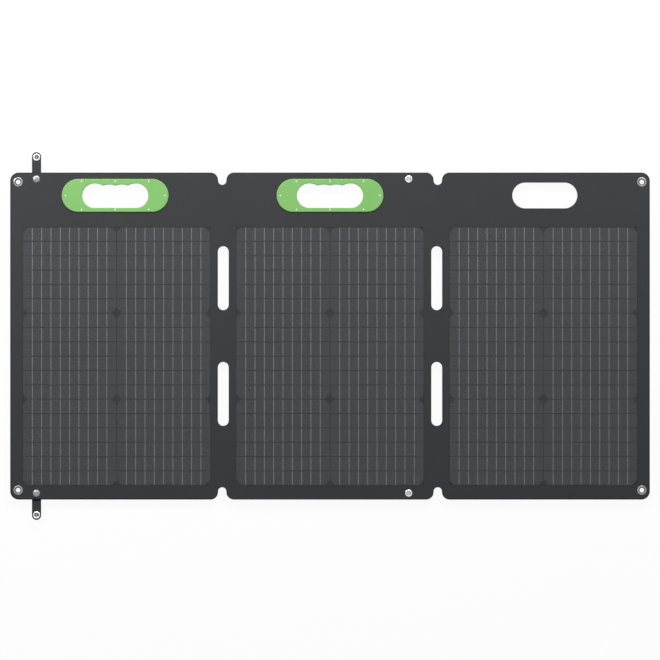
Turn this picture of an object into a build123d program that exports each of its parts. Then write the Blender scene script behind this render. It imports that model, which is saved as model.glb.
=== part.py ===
from build123d import *
import os

# Folding solar panel of three hinged panels in one sheet, laid open with its cells up.
# Millimetres. Origin: middle of the surface that it lies on. +X runs along the three panels,
# +Y towards the carrying handles, +Z up, out of the cells.

os.makedirs("parts", exist_ok=True)

# ---- driving dimensions ------------------------------------------------------------------
# Sheet outline
SHEET_LENGTH = 1150.0
SHEET_HEIGHT = 588.0
CORNER_R = 15.3
NOTCH_X = 193.8          # notches at both ends of each fold
NOTCH_R = 7.5
NOTCH_DEPTH = 22.1
NOTCH_SHOULDER_R = 13.5
NOTCH_LAP = 4.0          # how far a fold web reaches up beside its notches
SLOT_X = 191.9           # two long slots in each fold
SLOT_Y = 104.0
SLOT_LENGTH = 114.7
SLOT_WIDTH = 19.5
WEB_WIDTH = 15.5         # flexible strip left between two panels
FOLD_X = 193.1           # fold axes

# Layers of a panel, from the back. The handles, box and hardware stand off the surface below.
BACK_Z = 10.0            # back face of the sheet
SKIN_T = 0.6
BOARD_T = 1.4
UNDERLAY_T = 0.3
CELL_T = 0.2
RIBBON_T = 0.1
FILM_GAP = 0.05          # soft adhesive above the ribbons
FILM_T = 0.2
PANEL_T = 3.0
WEB_T = 1.4
RIM = 2.0                # sealed edge around the board
FIT = 0.1                # clearance of a piece in its pocket
NEAR = 1.0               # how close a corner lies to its place when it is picked

# Cells: two columns of three wafers in each panel, each wafer cut into six strips
FIELD_X = 383.6          # middle of the outer panels' cell fields
FIELD_Y = -36.1
FIELD_W = 336.6
COLUMN_GAP = 1.6
WAFERS_HIGH = 3
STRIPS_PER_WAFER = 6
STRIP_PITCH = 25.8
STRIP_GAP = 1.35
WAFER_CHAMFER = 8.5
RIBBONS = 9
RIBBON_W = 0.95
WINDOW_MARGIN = 0.5      # of the cover's window round the cells
WINDOW_R = 2.0

# Hand openings and the handle frames clamped round two of them
HANDLE_Y = 252.7
OPENING_L = 119.0
OPENING_H = 44.0
FINGER_PITCH = 22.5
FINGER_RIDGE_Y = 17.9    # tips of the ridges between the fingers
FINGER_RECESS_Y = 19.9   # top of the two middle finger recesses
RIDGE_R = 3.0
FRAME_L = 192.0
FRAME_H = 59.4
FRAME_PROUD = 1.9        # height of the front half above the sheet
FRAME_FRONT_ROUND = 1.1
FRAME_BACK_ROUND = 2.0
COLLAR_T = 1.2
FRAME_SCREW_X = 60.3
FRAME_SCREW_Y = 25.3
FRAME_SCREW_END_X = 89.4
PLAIN_OPENING_L = 116.7
PLAIN_OPENING_H = 46.0
SCREW_R = 0.95
SCREW_HOLE_R = 1.0
SCREW_HEAD_R = 1.6
SCREW_HEAD_T = 0.8
SCREW_DEPTH = 6.0        # how far the screws reach below the sheet
SCREW_HOLE_SPARE = 1.0   # hole beyond the screw's end
SCREW_SUNK = 0.1         # top of a screw's head below the surface round it

# Corner eyelets
EYELET_X = 560.6
EYELET_Y = 277.0
EYELET_BORE_R = 4.1
EYELET_BARREL_T = 0.5
EYELET_FLANGE_R = 8.35
EYELET_FLANGE_T = 0.6
EYELET_ROUND = 0.4

# Closing straps, snapped to the middle panel's back when folded
STRAP_X = -527.7
STRAP_W = 16.5
STRAP_T = 1.5
STRAP_ROOT_L = 23.0
STRAP_CLEAR = 0.3        # first bend line beyond the sheet's edge
STRAP_REACH = 36.7       # tip of the strap beyond the sheet's edge
SNAP_Y = 282.4           # rivets and studs
FOLD_GAP = 2.2           # between the faces of folded panels
SNAP_RISE = 2.1          # strap's inner face above the middle panel's back when closed
STUD_FLANGE_R = 5.2
STUD_FLANGE_T = 0.35
STUD_R = 1.95
SOCKET_BORE_R = 2.3
SOCKET_R = 6.35
SOCKET_T = 1.5
SOCKET_STEP = 1.2        # how much narrower the socket's upper half is
SOCKET_ROUND = 0.3
CAP_T = 1.2              # cap on the strap's outer face
CAP_ROUND = 0.9
POST_SHORT = 0.1         # gap above the cap's post
RIVET_R = 1.6
RIVET_DOME_R = 6.3
RIVET_DOME_T = 1.7
RIVET_DOME_ROUND = 1.5
RIVET_PLATE_T = 0.8
POST_HEAD_T = 0.9        # ringed head of a stud's post
POST_RING_OUT_R = 4.2
POST_RING_IN_R = 2.4
POST_RING_DEPTH = 0.4
HARDWARE_ROUND = 0.5
STUD_SHORT = 0.15        # gap between a stud's end and the closed cap

# Junction box on the middle panel's back
BOX_Y = -215.0
BOX_L = 100.0
BOX_W = 60.0
BOX_R = 8.0
BOX_WALL = 3.0
BOX_LID_T = 1.2
BOX_LID_ROUND = 0.5
BOX_SCREW_IN = 7.0       # screws in from the box's sides
BOX_POST_R = 3.2
BOX_SCREW_L = 6.0
BOX_SCREW_HOLE = 6.5
BOX_FLOOR_T = 1.0        # wall of the box towards the cells
BOX_FLANGE_T = 1.2       # step that lies on the sheet's back
WELL_L = 88.0            # upper part of the box, sunk into the board
WELL_W = 46.0
WELL_R = 4.0
WELL_WALL = 1.5
WELL_TOP = 1.75          # height of the well's top above the back face
JACK_X = 30.0
JACK_Z = 5.1
JACK_BORE_R = 2.8
JACK_BORE_DEPTH = 9.5
JACK_NOSE_R = 3.6
JACK_PIN_R = 1.05
JACK_BODY_L = 13.0
JACK_BODY_W = 9.6
JACK_FOOT_L = 6.0
JACK_BACK_GAP = 0.2      # behind the wall that the nose goes through
JACK_PIN_BACK = 1.0      # pin's end behind the socket's mouth
JACK_PIN_ROUND = 0.4
PCB_T = 1.2
PCB_IN = 2.0             # circuit board in from the well's outside
PCB_GAP = 0.2
PCB_R = 2.0
PCB_NOTCH_R = 3.4        # room for the screw posts
SEAL_IN = 0.8            # seal in from the box's sides
SEAL_W = 1.4
SEAL_T = 0.6
TAB_T = 0.6
TAB_SLOT_T = 1.0
TAB_SLOT_SPARE = 0.4
TAB_BELOW = 1.0          # tabs below the circuit board
DIODE_PITCH = 24.0
DIODE_UP = 10.0          # diodes from the well's middle
DIODE_L = 9.0
DIODE_W = 6.5
DIODE_H = 2.6
DIODE_CHAMFER = 0.5

# Copper strips that join the cell strings
TAB_X = (-36.0, -12.0, 0.0, 12.0, 36.0)
BUS_W = 4.0
BUS_T = 0.15
BUS_GROOVE = 0.25        # depth of their grooves in the board
BUS_BED = 0.03           # glue under the strips
LINK_OUT = 5.4           # strips beyond the ends of the cell field
LEAD_OUT = 5.7
LEAD_STEP = 7.0
NEAR_LEAD_OUT = 3.7      # strips up the side of the cell field
FAR_LEAD_OUT = 9.2
FOLD_BUS_Y = 20.0
FOLD_BUS_L = 24.2

# ---- worked out from them ----------------------------------------------------------------
BOARD_Z = BACK_Z + SKIN_T
LAMINATE_Z = BOARD_Z + BOARD_T
CELL_Z = LAMINATE_Z + UNDERLAY_T
RIBBON_Z = CELL_Z + CELL_T
FILM_Z = RIBBON_Z + RIBBON_T + FILM_GAP
FRONT_Z = BACK_Z + PANEL_T
BUS_Z = LAMINATE_Z - BUS_GROOVE + BUS_BED
SLOT_EDGE_X = (SLOT_X - SLOT_WIDTH / 2, SLOT_X + SLOT_WIDTH / 2)
WEB_HALF_HEIGHT = SHEET_HEIGHT / 2 - NOTCH_DEPTH + NOTCH_LAP
STRIPS_HIGH = WAFERS_HIGH * STRIPS_PER_WAFER
FIELD_H = STRIPS_HIGH * STRIP_PITCH
FIELD_TOP = FIELD_Y + FIELD_H / 2
FIELD_BOTTOM = FIELD_Y - FIELD_H / 2
WAFER_W = (FIELD_W - COLUMN_GAP) / 2
WAFER_PITCH = STRIPS_PER_WAFER * STRIP_PITCH
RIBBON_PITCH = WAFER_W / (RIBBONS + 1)
STACK_T = 3 * PANEL_T + 2 * FOLD_GAP
STRAP_BEND_Y = SHEET_HEIGHT / 2 + STRAP_CLEAR
STRAP_SPAN = STACK_T + SNAP_RISE
STRAP_TIP_BEND_Y = STRAP_BEND_Y + STRAP_SPAN
SOCKET_Y = STRAP_TIP_BEND_Y + STRAP_BEND_Y - SNAP_Y
STUD_X = -2 * FOLD_X - STRAP_X

# each panel's name, the middle of its cell field, its handle and the way to its fold
PANELS = {"left": (-FIELD_X, -2 * FOLD_X, 1), "middle": (0.0, 0.0, 0), "right": (FIELD_X, 2 * FOLD_X, -1)}
EYELETS = {
    "left": [(-EYELET_X, EYELET_Y), (-EYELET_X, -EYELET_Y)],
    "right": [(EYELET_X, EYELET_Y), (EYELET_X, -EYELET_Y)],
}
RIVETS = [(STRAP_X, SNAP_Y), (STRAP_X, -SNAP_Y)]
STUDS = [(STUD_X, SNAP_Y), (STUD_X, -SNAP_Y)]
FRAME_SCREWS = [
    (-FRAME_SCREW_X, FRAME_SCREW_Y),
    (0, FRAME_SCREW_Y),
    (FRAME_SCREW_X, FRAME_SCREW_Y),
    (-FRAME_SCREW_X, -FRAME_SCREW_Y),
    (0, -FRAME_SCREW_Y),
    (FRAME_SCREW_X, -FRAME_SCREW_Y),
    (-FRAME_SCREW_END_X, 0),
    (FRAME_SCREW_END_X, 0),
]


def sheet_outline():
    """The whole sheet with its fold notches and slots."""
    with BuildSketch() as outline:
        RectangleRounded(SHEET_LENGTH, SHEET_HEIGHT, CORNER_R)
        for side_x in (-1, 1):
            for side_y in (-1, 1):
                edge_y = side_y * SHEET_HEIGHT / 2
                with Locations((side_x * NOTCH_X, edge_y)):
                    Rectangle(2 * NOTCH_R, 2 * (NOTCH_DEPTH - NOTCH_R), mode=Mode.SUBTRACT)
                with Locations((side_x * NOTCH_X, edge_y - side_y * (NOTCH_DEPTH - NOTCH_R))):
                    Circle(NOTCH_R, mode=Mode.SUBTRACT)
                with Locations((side_x * SLOT_X, side_y * SLOT_Y)):
                    SlotOverall(SLOT_LENGTH, SLOT_WIDTH, rotation=90, mode=Mode.SUBTRACT)
        shoulders = outline.vertices().filter_by(
            lambda v: abs(v.Y) > SHEET_HEIGHT / 2 - NEAR and abs(abs(v.X) - NOTCH_X) < NOTCH_R + NEAR
        )
        fillet(shoulders, NOTCH_SHOULDER_R)
    return outline.sketch


SHEET = sheet_outline()


def panel_face(name):
    """One panel's outline, from fold web to fold web."""
    with BuildSketch() as face:
        add(SHEET)
        if name == "middle":
            Rectangle(2 * NOTCH_X, SHEET_HEIGHT, mode=Mode.INTERSECT)
        else:
            side = 1 if name == "right" else -1
            half = SHEET_LENGTH / 2 - NOTCH_X
            with Locations((side * (NOTCH_X + half / 2), 0)):
                Rectangle(half, SHEET_HEIGHT, mode=Mode.INTERSECT)
        with Locations((-SLOT_X, 0), (SLOT_X, 0)):
            Rectangle(WEB_WIDTH, 2 * WEB_HALF_HEIGHT, mode=Mode.SUBTRACT)
    return face.sketch


def board_face(name, grow=0.0):
    """The stiff board's outline, a sealed rim's width inside the panel's."""
    inner, outer = SLOT_EDGE_X
    height = SHEET_HEIGHT - 2 * RIM + 2 * grow
    with BuildSketch() as face:
        if name == "middle":
            RectangleRounded(2 * (inner - RIM + grow), height, CORNER_R - RIM)
        else:
            side = 1 if name == "right" else -1
            width = SHEET_LENGTH / 2 - outer - 2 * RIM
            with Locations((side * (outer + RIM + width / 2), 0)):
                RectangleRounded(width + 2 * grow, height, CORNER_R - RIM)
    return face.sketch


def finger_opening():
    """Hand opening with four finger recesses along its upper edge, centred on the origin."""
    rise = OPENING_H / 2
    end_x = OPENING_L / 2 - rise
    with BuildSketch() as opening:
        with BuildLine():
            Line((-end_x, -rise), (end_x, -rise))
            ThreePointArc((end_x, -rise), (end_x + rise, 0), (end_x, rise))
            TangentArc((end_x, rise), (FINGER_PITCH, FINGER_RIDGE_Y), tangent=(-1, 0))
            ThreePointArc(
                (FINGER_PITCH, FINGER_RIDGE_Y), (FINGER_PITCH / 2, FINGER_RECESS_Y), (0, FINGER_RIDGE_Y)
            )
            ThreePointArc(
                (0, FINGER_RIDGE_Y), (-FINGER_PITCH / 2, FINGER_RECESS_Y), (-FINGER_PITCH, FINGER_RIDGE_Y)
            )
            TangentArc((-end_x, rise), (-FINGER_PITCH, FINGER_RIDGE_Y), tangent=(1, 0))
            ThreePointArc((-end_x, rise), (-end_x - rise, 0), (-end_x, -rise))
        make_face()
        ridges = opening.vertices().filter_by(lambda v: abs(v.Y - FINGER_RIDGE_Y) < NEAR / 10)
        fillet(ridges, RIDGE_R)
    return opening.sketch


def hand_cut(name, grow=0.0):
    """What is cut out of a panel's layers for its hand opening."""
    handle_x = PANELS[name][1]
    if name == "right":
        length, height = PLAIN_OPENING_L, PLAIN_OPENING_H
    else:
        length, height = OPENING_L + 2 * COLLAR_T, OPENING_H + 2 * COLLAR_T
    with BuildSketch() as cut:
        with Locations((handle_x, HANDLE_Y)):
            SlotOverall(length + 2 * grow, height + 2 * grow)
    return cut.sketch


def window_face(name, shrink=0.0):
    """The opening over the cells in a panel's front cover."""
    field_x = PANELS[name][0]
    grow = 2 * (WINDOW_MARGIN - shrink)
    with BuildSketch() as window:
        with Locations((field_x, FIELD_Y)):
            RectangleRounded(FIELD_W + grow, FIELD_H - STRIP_GAP + grow, WINDOW_R)
    return window.sketch


def bus_lines(name):
    """Corners of the copper strips on a panel's board, one list for each strip."""
    field_x, _, fold_way = PANELS[name]
    column_x = (WAFER_W + COLUMN_GAP) / 2
    link_y = FIELD_TOP + LINK_OUT
    lead_y = FIELD_BOTTOM - LEAD_OUT
    link = [(field_x - column_x, link_y), (field_x + column_x, link_y)]
    if name == "middle":
        rail_x = SLOT_X - FOLD_BUS_L / 2
        tab_x = TAB_X
        return [
            link,
            [(-rail_x, FOLD_BUS_Y), (rail_x, FOLD_BUS_Y)],
            [(tab_x[2], FOLD_BUS_Y), (tab_x[2], BOX_Y)],
            [(-rail_x, -FOLD_BUS_Y), (tab_x[1], -FOLD_BUS_Y), (tab_x[1], BOX_Y)],
            [(rail_x, -FOLD_BUS_Y), (tab_x[3], -FOLD_BUS_Y), (tab_x[3], BOX_Y)],
            [(-column_x, lead_y), (tab_x[0], lead_y), (tab_x[0], BOX_Y)],
            [(column_x, lead_y), (tab_x[4], lead_y), (tab_x[4], BOX_Y)],
        ]
    near_x = field_x + fold_way * (FIELD_W / 2 + NEAR_LEAD_OUT)
    far_x = field_x + fold_way * (FIELD_W / 2 + FAR_LEAD_OUT)
    join_x = -fold_way * (SLOT_X + FOLD_BUS_L / 2)
    return [
        link,
        [
            (field_x + fold_way * column_x, lead_y),
            (near_x, lead_y),
            (near_x, FOLD_BUS_Y),
            (join_x, FOLD_BUS_Y),
        ],
        [
            (field_x - fold_way * column_x, lead_y - LEAD_STEP),
            (far_x, lead_y - LEAD_STEP),
            (far_x, -FOLD_BUS_Y),
            (join_x, -FOLD_BUS_Y),
        ],
    ]


def bus_face(name, width):
    """The copper strips of one panel as flat shapes of a given width."""
    with BuildSketch() as face:
        for corners in bus_lines(name):
            with BuildLine() as path:
                Polyline(*corners)
            trace(path.edges(), line_width=width)
    return face.sketch


def fold_bus_face(fold_side, width, length):
    """The two strips that cross a fold."""
    with BuildSketch() as face:
        with Locations((fold_side * SLOT_X, FOLD_BUS_Y), (fold_side * SLOT_X, -FOLD_BUS_Y)):
            Rectangle(length, width)
    return face.sketch


def hardware_face(name):
    """Holes through a panel for its eyelets, rivets or snaps, and handle screws."""
    handle_x = PANELS[name][1]
    screws = [(handle_x + x, HANDLE_Y + y) for x, y in FRAME_SCREWS] if name != "right" else []
    hole_sizes = (
        (EYELETS.get(name, []), EYELET_BORE_R + EYELET_BARREL_T + FIT),
        ({"left": RIVETS, "middle": STUDS}.get(name, []), RIVET_R + FIT),
        (screws, SCREW_HOLE_R + FIT),
    )
    with BuildSketch() as holes:
        for places, radius in hole_sizes:
            if places:
                with Locations(*places):
                    Circle(radius)
    return holes.sketch


def socket_plane(y):
    """Plane square to the output socket's axis, facing out of the box's wall."""
    return Plane((JACK_X, y, JACK_Z), x_dir=(1, 0, 0), z_dir=(0, -1, 0))


# ---- the three panels --------------------------------------------------------------------
for panel, (field_x, _, _) in PANELS.items():
    fold_sides = {"left": [-1], "middle": [-1, 1], "right": [1]}[panel]

    # woven back skin over the whole panel
    with BuildPart() as back_skin:
        with BuildSketch(Plane.XY.offset(BACK_Z)):
            add(panel_face(panel))
            add(hand_cut(panel, FIT), mode=Mode.SUBTRACT)
            if panel == "middle":
                with Locations((0, BOX_Y)):
                    RectangleRounded(WELL_L + 2 * FIT, WELL_W + 2 * FIT, WELL_R, mode=Mode.SUBTRACT)
        extrude(amount=SKIN_T)
        with BuildSketch(Plane.XY.offset(BACK_Z)):
            add(hardware_face(panel))
        extrude(amount=SKIN_T, mode=Mode.SUBTRACT)
    back_skin.part.label = f"{panel}_back_skin"
    export_step(back_skin.part, f"parts/{panel}_back_skin.step")

    # stiff glass-fibre board, grooved for the copper strips
    with BuildPart() as board:
        with BuildSketch(Plane.XY.offset(BOARD_Z)):
            add(board_face(panel))
            add(hand_cut(panel, FIT), mode=Mode.SUBTRACT)
            if panel == "middle":
                with Locations((0, BOX_Y)):
                    RectangleRounded(WELL_L + 2 * FIT, WELL_W + 2 * FIT, WELL_R, mode=Mode.SUBTRACT)
        extrude(amount=BOARD_T)
        with BuildSketch(Plane.XY.offset(LAMINATE_Z)):
            add(bus_face(panel, BUS_W + 2 * FIT))
            for side in fold_sides:
                add(fold_bus_face(side, BUS_W + 2 * FIT, FOLD_BUS_L + 2 * FIT))
        extrude(amount=-BUS_GROOVE, mode=Mode.SUBTRACT)
        with BuildSketch(Plane.XY.offset(BOARD_Z)):
            add(hardware_face(panel))
        extrude(amount=BOARD_T, mode=Mode.SUBTRACT)
    board.part.label = f"{panel}_board"
    export_step(board.part, f"parts/{panel}_board.step")

    # front cover: the sealed rim and dark border, open over the cells
    with BuildPart() as front_cover:
        with BuildSketch(Plane.XY.offset(BOARD_Z)):
            add(panel_face(panel))
            add(hand_cut(panel, FIT), mode=Mode.SUBTRACT)
        extrude(amount=FRONT_Z - BOARD_Z)
        with BuildSketch(Plane.XY.offset(BOARD_Z)):
            add(board_face(panel, FIT))
        extrude(amount=BOARD_T, mode=Mode.SUBTRACT)
        with BuildSketch(Plane.XY.offset(LAMINATE_Z)):
            add(window_face(panel))
        extrude(amount=FRONT_Z - LAMINATE_Z, mode=Mode.SUBTRACT)
        with BuildSketch(Plane.XY.offset(LAMINATE_Z)):
            for side in fold_sides:
                add(fold_bus_face(side, BUS_W + 2 * FIT, FOLD_BUS_L))
        extrude(amount=-BUS_GROOVE, mode=Mode.SUBTRACT)
        with BuildSketch(Plane.XY.offset(LAMINATE_Z)):
            add(hardware_face(panel))
        extrude(amount=FRONT_Z - LAMINATE_Z, mode=Mode.SUBTRACT)
    front_cover.part.label = f"{panel}_front_cover"
    export_step(front_cover.part, f"parts/{panel}_front_cover.step")

    # dark underlay that the cells lie on
    with BuildPart() as underlay:
        with BuildSketch(Plane.XY.offset(LAMINATE_Z)):
            add(window_face(panel, FIT))
        extrude(amount=UNDERLAY_T)
    underlay.part.label = f"{panel}_underlay"
    export_step(underlay.part, f"parts/{panel}_underlay.step")

    # cell strips: wafers with clipped corners, each cut into strips
    with BuildPart() as cells:
        with BuildSketch(Plane.XY.offset(CELL_Z)) as wafers:
            with Locations((field_x, FIELD_Y)):
                with GridLocations(WAFER_W + COLUMN_GAP, WAFER_PITCH, 2, WAFERS_HIGH):
                    Rectangle(WAFER_W, WAFER_PITCH - STRIP_GAP)
            chamfer(wafers.vertices(), WAFER_CHAMFER)
            with Locations((field_x, FIELD_Y)):
                with GridLocations(0, STRIP_PITCH, 1, STRIPS_HIGH - 1):
                    Rectangle(FIELD_W, STRIP_GAP, mode=Mode.SUBTRACT)
        extrude(amount=CELL_T)
    cells.part.label = f"{panel}_cell_strips"
    export_step(cells.part, f"parts/{panel}_cell_strips.step")

    # tinned ribbons along each strip
    with BuildPart() as ribbons:
        with BuildSketch(Plane.XY.offset(RIBBON_Z)):
            with Locations((field_x, FIELD_Y)):
                with GridLocations(WAFER_W + COLUMN_GAP, STRIP_PITCH, 2, STRIPS_HIGH):
                    with GridLocations(RIBBON_PITCH, 0, RIBBONS, 1):
                        Rectangle(RIBBON_W, STRIP_PITCH - 2 * STRIP_GAP)
        extrude(amount=RIBBON_T)
    ribbons.part.label = f"{panel}_cell_ribbons"
    export_step(ribbons.part, f"parts/{panel}_cell_ribbons.step")

    # clear film over the cells
    with BuildPart() as film:
        with BuildSketch(Plane.XY.offset(FILM_Z)):
            add(window_face(panel, FIT))
        extrude(amount=FILM_T)
    film.part.label = f"{panel}_clear_film"
    export_step(film.part, f"parts/{panel}_clear_film.step")

    # copper strips in the board's grooves
    with BuildPart() as bus_bars:
        with BuildSketch(Plane.XY.offset(BUS_Z)):
            add(bus_face(panel, BUS_W))
        extrude(amount=BUS_T)
    bus_bars.part.label = f"{panel}_bus_bars"
    export_step(bus_bars.part, f"parts/{panel}_bus_bars.step")

# ---- fold webs ---------------------------------------------------------------------------
for panel, side in (("left", -1), ("right", 1)):
    # flexible strips between two panels, flush with the front
    with BuildPart() as web:
        with BuildSketch(Plane.XY.offset(FRONT_Z - WEB_T)):
            add(SHEET)
            with Locations((side * SLOT_X, 0)):
                Rectangle(WEB_WIDTH, 2 * WEB_HALF_HEIGHT, mode=Mode.INTERSECT)
        extrude(amount=WEB_T)
        with BuildSketch(Plane.XY.offset(LAMINATE_Z)):
            add(fold_bus_face(side, BUS_W + 2 * FIT, FOLD_BUS_L))
        extrude(amount=-BUS_GROOVE, mode=Mode.SUBTRACT)
    web.part.label = f"{panel}_fold_web"
    export_step(web.part, f"parts/{panel}_fold_web.step")

    # copper strips that carry the current across the fold
    with BuildPart() as fold_bus:
        with BuildSketch(Plane.XY.offset(BUS_Z)):
            add(fold_bus_face(side, BUS_W, FOLD_BUS_L))
        extrude(amount=BUS_T)
    fold_bus.part.label = f"{panel}_fold_bus"
    export_step(fold_bus.part, f"parts/{panel}_fold_bus.step")

# ---- handle frames on the left and middle panels -----------------------------------------
for panel in ("left", "middle"):
    centre = (PANELS[panel][1], HANDLE_Y)

    # front half: a rounded ring with a collar through the sheet
    with BuildPart() as front_frame:
        with BuildSketch(Plane((*centre, FRONT_Z))):
            SlotOverall(FRAME_L, FRAME_H)
            add(finger_opening(), mode=Mode.SUBTRACT)
        extrude(amount=FRAME_PROUD)
        fillet(front_frame.faces().sort_by(Axis.Z)[-1].edges(), FRAME_FRONT_ROUND)
        with BuildSketch(Plane((*centre, BACK_Z))):
            SlotOverall(OPENING_L + 2 * COLLAR_T, OPENING_H + 2 * COLLAR_T)
            add(finger_opening(), mode=Mode.SUBTRACT)
        extrude(amount=PANEL_T)
        with BuildSketch(Plane((*centre, FRONT_Z))):
            with Locations(*FRAME_SCREWS):
                Circle(SCREW_HOLE_R)
        extrude(amount=FRAME_PROUD, mode=Mode.SUBTRACT)
        with BuildSketch(Plane((*centre, FRONT_Z + FRAME_PROUD))):
            with Locations(*FRAME_SCREWS):
                Circle(SCREW_HEAD_R + FIT)
        extrude(amount=-SCREW_HEAD_T, mode=Mode.SUBTRACT)
    front_frame.part.label = f"{panel}_handle_front"
    export_step(front_frame.part, f"parts/{panel}_handle_front.step")

    # back half: the thick grip that the screws go into
    with BuildPart() as back_frame:
        with BuildSketch(Plane((*centre, 0))):
            SlotOverall(FRAME_L, FRAME_H)
            add(finger_opening(), mode=Mode.SUBTRACT)
        extrude(amount=BACK_Z)
        fillet(back_frame.faces().sort_by(Axis.Z)[0].edges(), FRAME_BACK_ROUND)
        with BuildSketch(Plane((*centre, BACK_Z))):
            with Locations(*FRAME_SCREWS):
                Circle(SCREW_HOLE_R)
        extrude(amount=-SCREW_DEPTH - SCREW_HOLE_SPARE, mode=Mode.SUBTRACT)
    back_frame.part.label = f"{panel}_handle_back"
    export_step(back_frame.part, f"parts/{panel}_handle_back.step")

    # eight screws
    with BuildPart() as frame_screws:
        with BuildSketch(Plane((*centre, BACK_Z - SCREW_DEPTH))):
            with Locations(*FRAME_SCREWS):
                Circle(SCREW_R)
        extrude(amount=SCREW_DEPTH + PANEL_T + FRAME_PROUD - SCREW_HEAD_T)
        with BuildSketch(Plane((*centre, FRONT_Z + FRAME_PROUD - SCREW_HEAD_T))):
            with Locations(*FRAME_SCREWS):
                Circle(SCREW_HEAD_R)
        extrude(amount=SCREW_HEAD_T - SCREW_SUNK)
    frame_screws.part.label = f"{panel}_handle_screws"
    export_step(frame_screws.part, f"parts/{panel}_handle_screws.step")

# ---- corner eyelets ----------------------------------------------------------------------
for panel, places in EYELETS.items():
    barrel_r = EYELET_BORE_R + EYELET_BARREL_T

    # front half with its barrel
    with BuildPart() as eyelets:
        with BuildSketch(Plane.XY.offset(FRONT_Z)):
            with Locations(*places):
                Circle(EYELET_FLANGE_R)
        extrude(amount=EYELET_FLANGE_T)
        fillet(eyelets.edges().filter_by(GeomType.CIRCLE).group_by(Axis.Z)[-1], EYELET_ROUND)
        with BuildSketch(Plane.XY.offset(BACK_Z - EYELET_FLANGE_T)):
            with Locations(*places):
                Circle(barrel_r)
        extrude(amount=PANEL_T + EYELET_FLANGE_T)
        with BuildSketch(Plane.XY.offset(BACK_Z - EYELET_FLANGE_T)):
            with Locations(*places):
                Circle(EYELET_BORE_R)
        extrude(amount=PANEL_T + 2 * EYELET_FLANGE_T, mode=Mode.SUBTRACT)
    eyelets.part.label = f"{panel}_eyelets"
    export_step(eyelets.part, f"parts/{panel}_eyelets.step")

    # back washers that the barrels are rolled over
    with BuildPart() as washers:
        with BuildSketch(Plane.XY.offset(BACK_Z - EYELET_FLANGE_T)):
            with Locations(*places):
                Circle(EYELET_FLANGE_R)
                Circle(barrel_r + FIT / 2, mode=Mode.SUBTRACT)
        extrude(amount=EYELET_FLANGE_T)
    washers.part.label = f"{panel}_eyelet_washers"
    export_step(washers.part, f"parts/{panel}_eyelet_washers.step")

# ---- straps ------------------------------------------------------------------------------
STRAP_Z = BACK_Z - STRAP_T
STRAP_TIP_Y = SHEET_HEIGHT / 2 + STRAP_REACH

# the ends held under the rivets
with BuildPart() as strap_roots:
    for way in (1, -1):
        root_y = way * (STRAP_BEND_Y - STRAP_ROOT_L / 2)
        with BuildSketch(Plane((STRAP_X, root_y, STRAP_Z))):
            Rectangle(STRAP_W, STRAP_ROOT_L)
            with Locations((0, way * SNAP_Y - root_y)):
                Circle(RIVET_R + FIT, mode=Mode.SUBTRACT)
    extrude(amount=STRAP_T)
strap_roots.part.label = "strap_roots"
export_step(strap_roots.part, "parts/strap_roots.step")

for strap, way in (("top", 1), ("bottom", -1)):
    # the stretch that passes the folded edges
    with BuildPart() as span:
        with BuildSketch(Plane((STRAP_X, way * (STRAP_BEND_Y + STRAP_SPAN / 2), STRAP_Z))):
            Rectangle(STRAP_W, STRAP_SPAN)
        extrude(amount=STRAP_T)
    span.part.label = f"{strap}_strap_span"
    export_step(span.part, f"parts/{strap}_strap_span.step")

    # the rounded end that carries the snap
    tip_length = STRAP_TIP_Y - STRAP_TIP_BEND_Y
    with BuildPart() as tip:
        with BuildSketch(Plane((STRAP_X, way * STRAP_TIP_BEND_Y, STRAP_Z))):
            with Locations((0, way * (tip_length - STRAP_W / 2) / 2)):
                Rectangle(STRAP_W, tip_length - STRAP_W / 2)
            with Locations((0, way * (tip_length - STRAP_W / 2))):
                Circle(STRAP_W / 2)
            with Locations((0, way * (SOCKET_Y - STRAP_TIP_BEND_Y))):
                Circle(RIVET_R + FIT, mode=Mode.SUBTRACT)
        extrude(amount=STRAP_T)
    tip.part.label = f"{strap}_strap_tip"
    export_step(tip.part, f"parts/{strap}_strap_tip.step")

    # snap socket on the strap's inner face
    with BuildPart() as socket:
        with BuildSketch(Plane((STRAP_X, way * SOCKET_Y, BACK_Z))):
            Circle(SOCKET_R)
        extrude(amount=SOCKET_T / 2)
        with BuildSketch(Plane((STRAP_X, way * SOCKET_Y, BACK_Z + SOCKET_T / 2))):
            Circle(SOCKET_R - SOCKET_STEP)
        extrude(amount=SOCKET_T / 2)
        fillet(socket.faces().sort_by(Axis.Z)[-1].edges(), SOCKET_ROUND)
        with BuildSketch(Plane((STRAP_X, way * SOCKET_Y, BACK_Z))):
            Circle(SOCKET_BORE_R)
        extrude(amount=SOCKET_T, mode=Mode.SUBTRACT)
    socket.part.label = f"{strap}_snap_socket"
    export_step(socket.part, f"parts/{strap}_snap_socket.step")

    # cap on the strap's outer face, with the post that holds the socket
    with BuildPart() as cap:
        with BuildSketch(Plane((STRAP_X, way * SOCKET_Y, STRAP_Z))):
            Circle(SOCKET_R)
        extrude(amount=-CAP_T)
        fillet(cap.faces().sort_by(Axis.Z)[0].edges(), CAP_ROUND)
        with BuildSketch(Plane((STRAP_X, way * SOCKET_Y, STRAP_Z))):
            Circle(RIVET_R)
        extrude(amount=STRAP_T - POST_SHORT)
    cap.part.label = f"{strap}_snap_cap"
    export_step(cap.part, f"parts/{strap}_snap_cap.step")

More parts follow.
